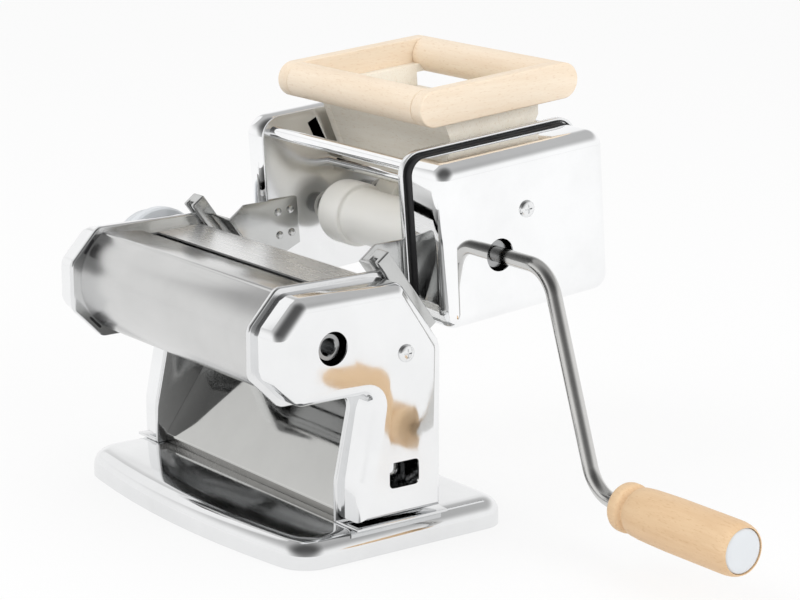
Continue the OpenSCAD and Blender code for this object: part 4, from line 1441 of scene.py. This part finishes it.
@dataclass
class Hopper(Attachment):
    """The wooden hopper: two rails, two dowels, end boards and sloping panels."""

    board_left: float = -58.0
    board_right: float = 53.0
    board_t: float = 6.0
    panel_t: float = 4.0
    rail_t: float = 8.5
    dowel_r: float = 9.5
    front_dowel: tuple[float, float] = (-14.0, 73.7)
    rear_dowel: tuple[float, float] = (70.4, 73.7)
    slot_front: tuple[float, float] = (12.1, 18.0)
    slot_rear: tuple[float, float] = (28.9, 18.0)
    front_top: tuple[float, float] = (-4.7, 70.2)
    rear_top: tuple[float, float] = (59.0, 57.0)

    def dowel(self, name: str, at: Point) -> None:
        """Turn a dowel between the rails.

        Args:
            name: The part node that it stands for.
            at: Its axis, as (y, z).
        """
        rings = (
            (self.board_left, self.dowel_r - 0.5), (self.board_left + 0.4, self.dowel_r),
            (self.board_right - 0.4, self.dowel_r), (self.board_right, self.dowel_r - 0.5),
        )
        dowel = Bench.lathe(name + "_skin", at, rings)
        Bench.smooth(dowel)
        self.hand_over(self.place(dowel), self.finishes.beech, "hopper", "beech", (name,))

    def rail(self, name: str, x_from: float, x_to: float) -> None:
        """Round a rail's ends and ease its edges.

        Args:
            name: The part node that it stands for.
            x_from: One face along X.
            x_to: The other face along X.
        """
        rail = Bench.block(
            name + "_skin",
            (min(x_from, x_to), self.front_dowel[0] - self.dowel_r, self.front_dowel[1] - self.dowel_r),
            (max(x_from, x_to), self.rear_dowel[0] + self.dowel_r, self.front_dowel[1] + self.dowel_r),
        )
        Bench.round_off(rail, lambda a, b: abs(a.x - b.x) > 1.0, self.dowel_r - 0.02, 16)
        Bench.soften(rail, 2.2, 5, 50.0)
        Bench.smooth(rail)
        self.hand_over(self.place(rail), self.finishes.rail, "hopper", "beech", (name,))

    @staticmethod
    def trim(piece: bpy.types.Object, at: Point, to: Point, shift: float = 0.0) -> None:
        """Cut away what lies to the right of a line in (y, z), moved left by a shift.

        Args:
            piece: The mesh to cut.
            at: Start of the line.
            to: End of the line.
            shift: How far the line moves to its left.
        """
        run = Vector((to[0] - at[0], to[1] - at[1])).normalized()
        left = (-run.y, run.x)
        point = (0.0, at[0] + shift * left[0], at[1] + shift * left[1])
        Bench.slice(piece, point, (0.0, -left[0], -left[1]))

    def end_board(self, name: str, x_from: float, x_to: float) -> None:
        """Saw an end board to the slope of the two panels.

        Args:
            name: The part node that it stands for.
            x_from: One face along X.
            x_to: The other face along X.
        """
        board = Bench.block(
            name + "_skin",
            (min(x_from, x_to), self.front_top[0], self.slot_front[1]),
            (max(x_from, x_to), self.rear_top[0] + 5.6, self.front_top[1]),
        )
        self.trim(board, self.front_top, self.slot_front)
        self.trim(board, self.slot_rear, self.rear_top)
        notch = Bench.block(
            "notch",
            (min(x_from, x_to) - 2.0, self.rear_top[0], self.slot_rear[1]),
            (max(x_from, x_to) + 2.0, self.rear_top[0] + 8.0, self.rear_top[1] + 9.0),
        )
        Bench.cut(board, notch)
        span = sorted((x_from, x_to))
        groove = ((span[0] - 2.0, self.dowel_r), (span[1] + 2.0, self.dowel_r))
        Bench.cut(board, Bench.lathe("dowel_cut", self.rear_dowel, groove))
        Bench.soften(board, 0.5, 2)
        Bench.smooth(board)
        self.hand_over(self.place(board), self.finishes.board, "hopper", "cream_wood", (name,))

    def panels(self) -> None:
        """Saw the two sloping panels."""
        x_from, x_to = self.board_left + self.board_t, self.board_right - self.board_t
        front = Bench.block(
            "front_panel_skin", (x_from, -14.0, self.slot_front[1]), (x_to, 24.0, self.front_top[1])
        )
        self.trim(front, self.front_top, self.slot_front)
        self.trim(front, self.slot_front, self.front_top, -self.panel_t)
        Bench.soften(front, 0.5, 2)
        Bench.smooth(front)
        self.hand_over(self.place(front), self.finishes.board, "hopper", "cream_wood", ("front_panel",))
        rear = Bench.block(
            "rear_panel_skin", (x_from, 18.0, self.slot_rear[1]), (x_to, 62.0, self.rear_top[1] + 1.5)
        )
        self.trim(rear, self.slot_rear, self.rear_top)
        self.trim(rear, self.rear_top, self.slot_rear, -self.panel_t)
        Bench.soften(rear, 0.5, 2)
        Bench.smooth(rear)
        self.hand_over(self.place(rear), self.finishes.board, "hopper", "cream_wood", ("rear_panel",))

    def build(self) -> None:
        """Build the hopper."""
        self.dowel("front_dowel", self.front_dowel)
        self.dowel("rear_dowel", self.rear_dowel)
        self.rail("left_rail", self.board_left, self.board_left - self.rail_t)
        self.rail("right_rail", self.board_right, self.board_right + self.rail_t)
        self.end_board("left_end_board", self.board_left, self.board_left + self.board_t)
        self.end_board("right_end_board", self.board_right, self.board_right - self.board_t)
        self.panels()


@dataclass
class Crank(Assembly):
    """The bent crank rod and its wooden grip."""

    axis: tuple[float, float] = (80.5, 138.3)
    rod_r: float = 4.0
    start: float = 68.5
    corner: float = 128.0
    throw: float = 107.0
    lean: float = 20.0
    bend_r: float = 20.0
    gap: float = 7.0
    grip_len: float = 83.0

    def bend(self, centre: Point, sign: float) -> None:
        """Spin the held ring round a bend's centre in (x, z).

        Args:
            centre: The bend's centre, as (x, z).
            sign: Direction of the bend.
        """
        bpy.ops.mesh.spin(
            steps=14,
            angle=math.radians(90.0 - self.lean) * sign,
            center=(centre[0] * MM, self.axis[0] * MM, centre[1] * MM),
            axis=(0.0, 1.0, 0.0),
        )

    def rod(self) -> float:
        """Draw out the rod, ring by ring, through its two bends.

        Returns:
            Place along X where the grip starts.
        """
        run = self.bend_r * math.tan(math.radians(90.0 - self.lean) / 2)
        foot = self.corner + self.throw * math.tan(math.radians(self.lean))
        upper = (self.corner - run, self.axis[1] - self.bend_r)
        lower = (foot + run, self.axis[1] - self.throw + self.bend_r)
        grip_x = lower[0] + self.gap
        slope = (math.sin(math.radians(self.lean)), -math.cos(math.radians(self.lean)))
        reach = math.hypot(foot - self.corner, self.throw) - 2.0 * run
        rod = Bench.lathe(
            "crank_rod_skin",
            self.axis,
            ((self.start, 3.4), (self.start + 0.6, self.rod_r), (upper[0], self.rod_r)),
            segments=40,
        )
        Bench.pick(rod, Spot.FACE, lambda c, n: abs(c.x - upper[0]) < 0.1 and n.x > 0.9)
        self.bend(upper, -1.0)
        bpy.ops.mesh.extrude_region_move(
            TRANSFORM_OT_translate={"value": (slope[0] * reach * MM, 0.0, slope[1] * reach * MM)}
        )
        self.bend(lower, 1.0)
        bpy.ops.mesh.extrude_region_move(
            TRANSFORM_OT_translate={"value": ((self.gap + self.grip_len - 9.0) * MM, 0.0, 0.0)}
        )
        Bench.smooth(rod, 50.0)
        self.hand_over(rod, self.finishes.rod, "crank", "chrome", ("crank_rod",))
        return grip_x

    def grip(self, x: float) -> None:
        """Turn the grip, with its collar, neck and swelling barrel, and set the cap in its end.

        Args:
            x: Place of the grip's inner end.
        """
        axis = (self.axis[0], self.axis[1] - self.throw)
        end = self.grip_len
        profile = (
            (0.0, 4.05), (0.0, 10.6), (0.5, 11.6), (1.4, 12.2), (2.6, 12.5), (5.4, 12.5), (6.4, 12.3),
            (7.2, 11.8), (7.9, 11.0), (8.4, 10.3), (8.9, 10.0), (9.6, 10.0), (10.1, 10.4), (10.6, 11.2),
            (11.4, 11.9), (12.6, 12.4), (18.0, 12.9), (27.0, 13.2), (37.0, 13.4), (end - 14.0, 13.4),
            (end - 6.0, 13.35), (end - 3.4, 13.0), (end - 1.6, 12.5), (end - 0.5, 12.0),
            (end, 11.7), (end, 11.3),
            (end - 4.0, 11.2), (end - 4.0, 8.0), (end - 11.0, 8.0), (end - 11.0, 4.05),
        )
        grip = Bench.lathe("grip_skin", axis, [(x + a, r) for a, r in profile], closed=True)
        Bench.smooth(grip)
        self.hand_over(grip, self.finishes.grip, "grip_body", "beech", ("grip",))
        dome = (
            (-4.0, 11.1), (-1.0, 11.1), (-0.4, 10.7), (0.0, 9.8), (0.3, 7.0), (0.5, 4.0), (0.6, 0.6),
        )
        cap = Bench.lathe("grip_cap_skin", axis, [(x + end + a, r) for a, r in dome])
        Bench.smooth(cap)
        self.hand_over(cap, self.finishes.pale, "grip_body", "white_plastic", ("grip_cap",))

    def build(self) -> None:
        """Build the rod and the grip."""
        self.grip(self.rod())


class Carried:
    """Part nodes that keep their own shape and only get a finish."""

    def __init__(self, finishes: Finishes) -> None:
        """List the nodes under their finishes.

        Args:
            finishes: Every finish on the machine.
        """
        self.groups = (
            (finishes.deck, ("rear_cover",)),
            (finishes.plate, ("left_dough_guide", "right_dough_guide")),
            (
                finishes.steel,
                (
                    "tie_rods", "front_scraper", "rear_scraper", "cover_brackets", "regulator_shaft",
                    "front_mould_shaft", "rear_mould_shaft", "grip_retainer",
                ),
            ),
            (
                finishes.oiled,
                ("front_roller_gear", "rear_roller_gear", "front_mould_gear", "rear_mould_gear"),
            ),
            (finishes.bronze, ("roller_bushes", "regulator_bush", "left_bearing", "right_bearing")),
            (finishes.white, ("mould_bushes",)),
            # The seal gets the near-black that paints the shade in the gap round the gear case.
            (finishes.shade_black, ("gear_case_seal",)),
        )

    def dress(self) -> None:
        """Give each listed node its finish."""
        for finish, names in self.groups:
            for name in names:
                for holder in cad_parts[name].material_slots:
                    holder.material = finish
                LOG.info("%s keeps its shape", name)


@dataclass
class Studio:
    """The white studio: the room, its floor, soft lamps and the camera."""

    eye: tuple[float, float, float] = (1.0894, -0.7229, 0.4326)
    target: tuple[float, float, float] = (0.0912, 0.0165, 0.1245)
    lens: float = 117.0
    ceiling_from: float = 0.20
    ceiling_to: float = 0.70
    ceiling_tone: float = 0.50
    dark_at: tuple[float, float, float] = (0.60, -0.48, 0.62)
    dark_edge: tuple[float, float] = (0.35, 0.97)
    dark_share: float = 0.82
    window_at: tuple[float, float, float] = (-0.80, -0.10, 0.50)
    window_edge: tuple[float, float] = (0.90, 0.97)
    key_at: tuple[float, float, float] = (-0.3, -1.5, 1.9)
    fill_at: tuple[float, float, float] = (1.9, 0.3, 1.1)

    def world(self) -> None:
        """Light the scene evenly, show white to the camera and a dim ceiling in reflections."""
        world = bpy.data.worlds.new("studio")
        bpy.context.scene.world = world
        world.use_nodes = True
        tree = world.node_tree
        soft = tree.nodes["Background"]
        soft.inputs["Color"].default_value = (1.0, 1.0, 1.0, 1.0)
        soft.inputs["Strength"].default_value = 0.80
        white = tree.nodes.new("ShaderNodeBackground")
        white.inputs["Color"].default_value = (1.0, 1.0, 1.0, 1.0)
        white.inputs["Strength"].default_value = 1.0
        room = tree.nodes.new("ShaderNodeBackground")
        room.inputs["Strength"].default_value = 1.0
        tree.links.new(self.room_tone(tree), room.inputs["Color"])
        path = tree.nodes.new("ShaderNodeLightPath")
        mirrored = tree.nodes.new("ShaderNodeMixShader")
        tree.links.new(path.outputs["Is Glossy Ray"], mirrored.inputs[0])
        tree.links.new(soft.outputs[0], mirrored.inputs[1])
        tree.links.new(room.outputs[0], mirrored.inputs[2])
        seen = tree.nodes.new("ShaderNodeMixShader")
        tree.links.new(path.outputs["Is Camera Ray"], seen.inputs[0])
        tree.links.new(mirrored.outputs[0], seen.inputs[1])
        tree.links.new(white.outputs[0], seen.inputs[2])
        tree.links.new(seen.outputs[0], tree.nodes["World Output"].inputs["Surface"])

    def room_tone(self, tree: bpy.types.NodeTree) -> bpy.types.NodeSocket:
        """Work out how bright the room is in each direction.

        Args:
            tree: The world's node tree.

        Returns:
            White near the horizon, a grey ceiling, a dark side behind the camera and a bright
            window up at the left.
        """
        ray = tree.nodes.new("ShaderNodeTexCoord").outputs["Generated"]
        split = tree.nodes.new("ShaderNodeSeparateXYZ")
        tree.links.new(ray, split.inputs[0])
        ceiling = tree.nodes.new("ShaderNodeMapRange")
        ceiling.interpolation_type = "SMOOTHSTEP"
        for name, value in zip(
            ("From Min", "From Max", "To Min", "To Max"),
            (self.ceiling_from, self.ceiling_to, 1.0, self.ceiling_tone),
        ):
            ceiling.inputs[name].default_value = value
        tree.links.new(split.outputs["Z"], ceiling.inputs["Value"])
        dark = self.toward(tree, ray, self.dark_at, self.dark_edge, (1.0, 1.0 - self.dark_share))
        window = self.toward(tree, ray, self.window_at, self.window_edge, (0.0, 1.0))
        shaded = tree.nodes.new("ShaderNodeMath")
        shaded.operation = "MULTIPLY"
        tree.links.new(ceiling.outputs["Result"], shaded.inputs[0])
        tree.links.new(dark, shaded.inputs[1])
        tone = tree.nodes.new("ShaderNodeMath")
        tone.operation = "MAXIMUM"
        tree.links.new(shaded.outputs[0], tone.inputs[0])
        tree.links.new(window, tone.inputs[1])
        return tone.outputs[0]

    @staticmethod
    def toward(
        tree: bpy.types.NodeTree,
        ray: bpy.types.NodeSocket,
        at: Point,
        edge: tuple[float, float],
        tones: tuple[float, float],
    ) -> bpy.types.NodeSocket:
        """Shade a round patch of the room.

        Args:
            tree: The world's node tree.
            ray: The direction that is looked in.
            at: Direction of the patch's middle.
            edge: Cosines of the angles where the patch begins and where it is full.
            tones: Tone outside the patch and inside it.

        Returns:
            The tone in the direction of the ray.
        """
        near = tree.nodes.new("ShaderNodeVectorMath")
        near.operation = "DOT_PRODUCT"
        near.inputs[1].default_value = Vector(at).normalized()
        tree.links.new(ray, near.inputs[0])
        patch = tree.nodes.new("ShaderNodeMapRange")
        patch.interpolation_type = "SMOOTHSTEP"
        for name, value in zip(("From Min", "From Max", "To Min", "To Max"), (*edge, *tones)):
            patch.inputs[name].default_value = value
        tree.links.new(near.outputs["Value"], patch.inputs["Value"])
        return patch.outputs["Result"]

    def floor(self) -> None:
        """Lay a white floor that keeps the object's shadow."""
        Bench.clear()
        bpy.ops.mesh.primitive_plane_add(size=12.0, location=(0.0, 0.0, -0.0002))
        floor = bpy.context.object
        floor.name = "floor"
        paint = bpy.data.materials.new("floor_white")
        paint.use_nodes = True
        tree = paint.node_tree
        matt = tree.nodes["Principled BSDF"]
        matt.inputs["Base Color"].default_value = (0.94, 0.94, 0.94, 1.0)
        matt.inputs["Roughness"].default_value = 0.7
        glow = tree.nodes.new("ShaderNodeEmission")
        glow.inputs["Strength"].default_value = 1.0
        path = tree.nodes.new("ShaderNodeLightPath")
        either = tree.nodes.new("ShaderNodeMath")
        either.operation = "MAXIMUM"
        tree.links.new(path.outputs["Is Camera Ray"], either.inputs[0])
        tree.links.new(path.outputs["Is Glossy Ray"], either.inputs[1])
        share = tree.nodes.new("ShaderNodeMath")
        share.operation = "MULTIPLY"
        share.inputs[1].default_value = 0.8
        tree.links.new(either.outputs[0], share.inputs[0])
        mix = tree.nodes.new("ShaderNodeMixShader")
        tree.links.new(share.outputs[0], mix.inputs[0])
        tree.links.new(matt.outputs[0], mix.inputs[1])
        tree.links.new(glow.outputs[0], mix.inputs[2])
        tree.links.new(mix.outputs[0], tree.nodes["Material Output"].inputs["Surface"])
        floor.data.materials.append(paint)

    def lamp(self, name: str, place: Point, size: float, power: float) -> None:
        """Hang a square soft lamp that looks at the machine.

        Args:
            name: Name of the lamp.
            place: Where it hangs, in metres.
            size: Its side, in metres.
            power: Its power, in watts.
        """
        light = bpy.data.lights.new(name, "AREA")
        light.energy = power
        light.size = size
        holder = bpy.data.objects.new(name, light)
        holder.location = place
        holder.rotation_euler = (
            (Vector(self.target) - Vector(place)).to_track_quat("-Z", "Y").to_euler()
        )
        holder.visible_glossy = False
        bpy.context.scene.collection.objects.link(holder)

    def camera(self) -> None:
        """Set the camera at the photograph's viewing angle."""
        view = bpy.data.cameras.new("camera")
        view.lens = self.lens
        view.sensor_width = 36.0
        view.clip_end = 50.0
        holder = bpy.data.objects.new("camera", view)
        holder.location = self.eye
        look = Vector(self.target) - Vector(self.eye)
        holder.rotation_euler = look.to_track_quat("-Z", "Y").to_euler()
        bpy.context.scene.collection.objects.link(holder)
        bpy.context.scene.camera = holder

    def build(self) -> None:
        """Set up the studio."""
        bpy.context.scene.view_settings.view_transform = "Standard"
        self.world()
        self.floor()
        self.lamp("key_lamp", self.key_at, 1.4, 15.0)
        self.lamp("fill_lamp", self.fill_at, 1.2, 14.0)
        self.camera()


def main() -> None:
    """Build the machine's pieces in order and set up the studio."""
    logging.basicConfig(level=logging.INFO)
    finishes = Finishes()
    Carried(finishes).dress()
    for assembly in (Stand, Cheeks, Rollers, Attachment, Hopper, Crank):
        assembly(finishes).build()
    Studio().build()


if __name__ == "__main__":
    main()
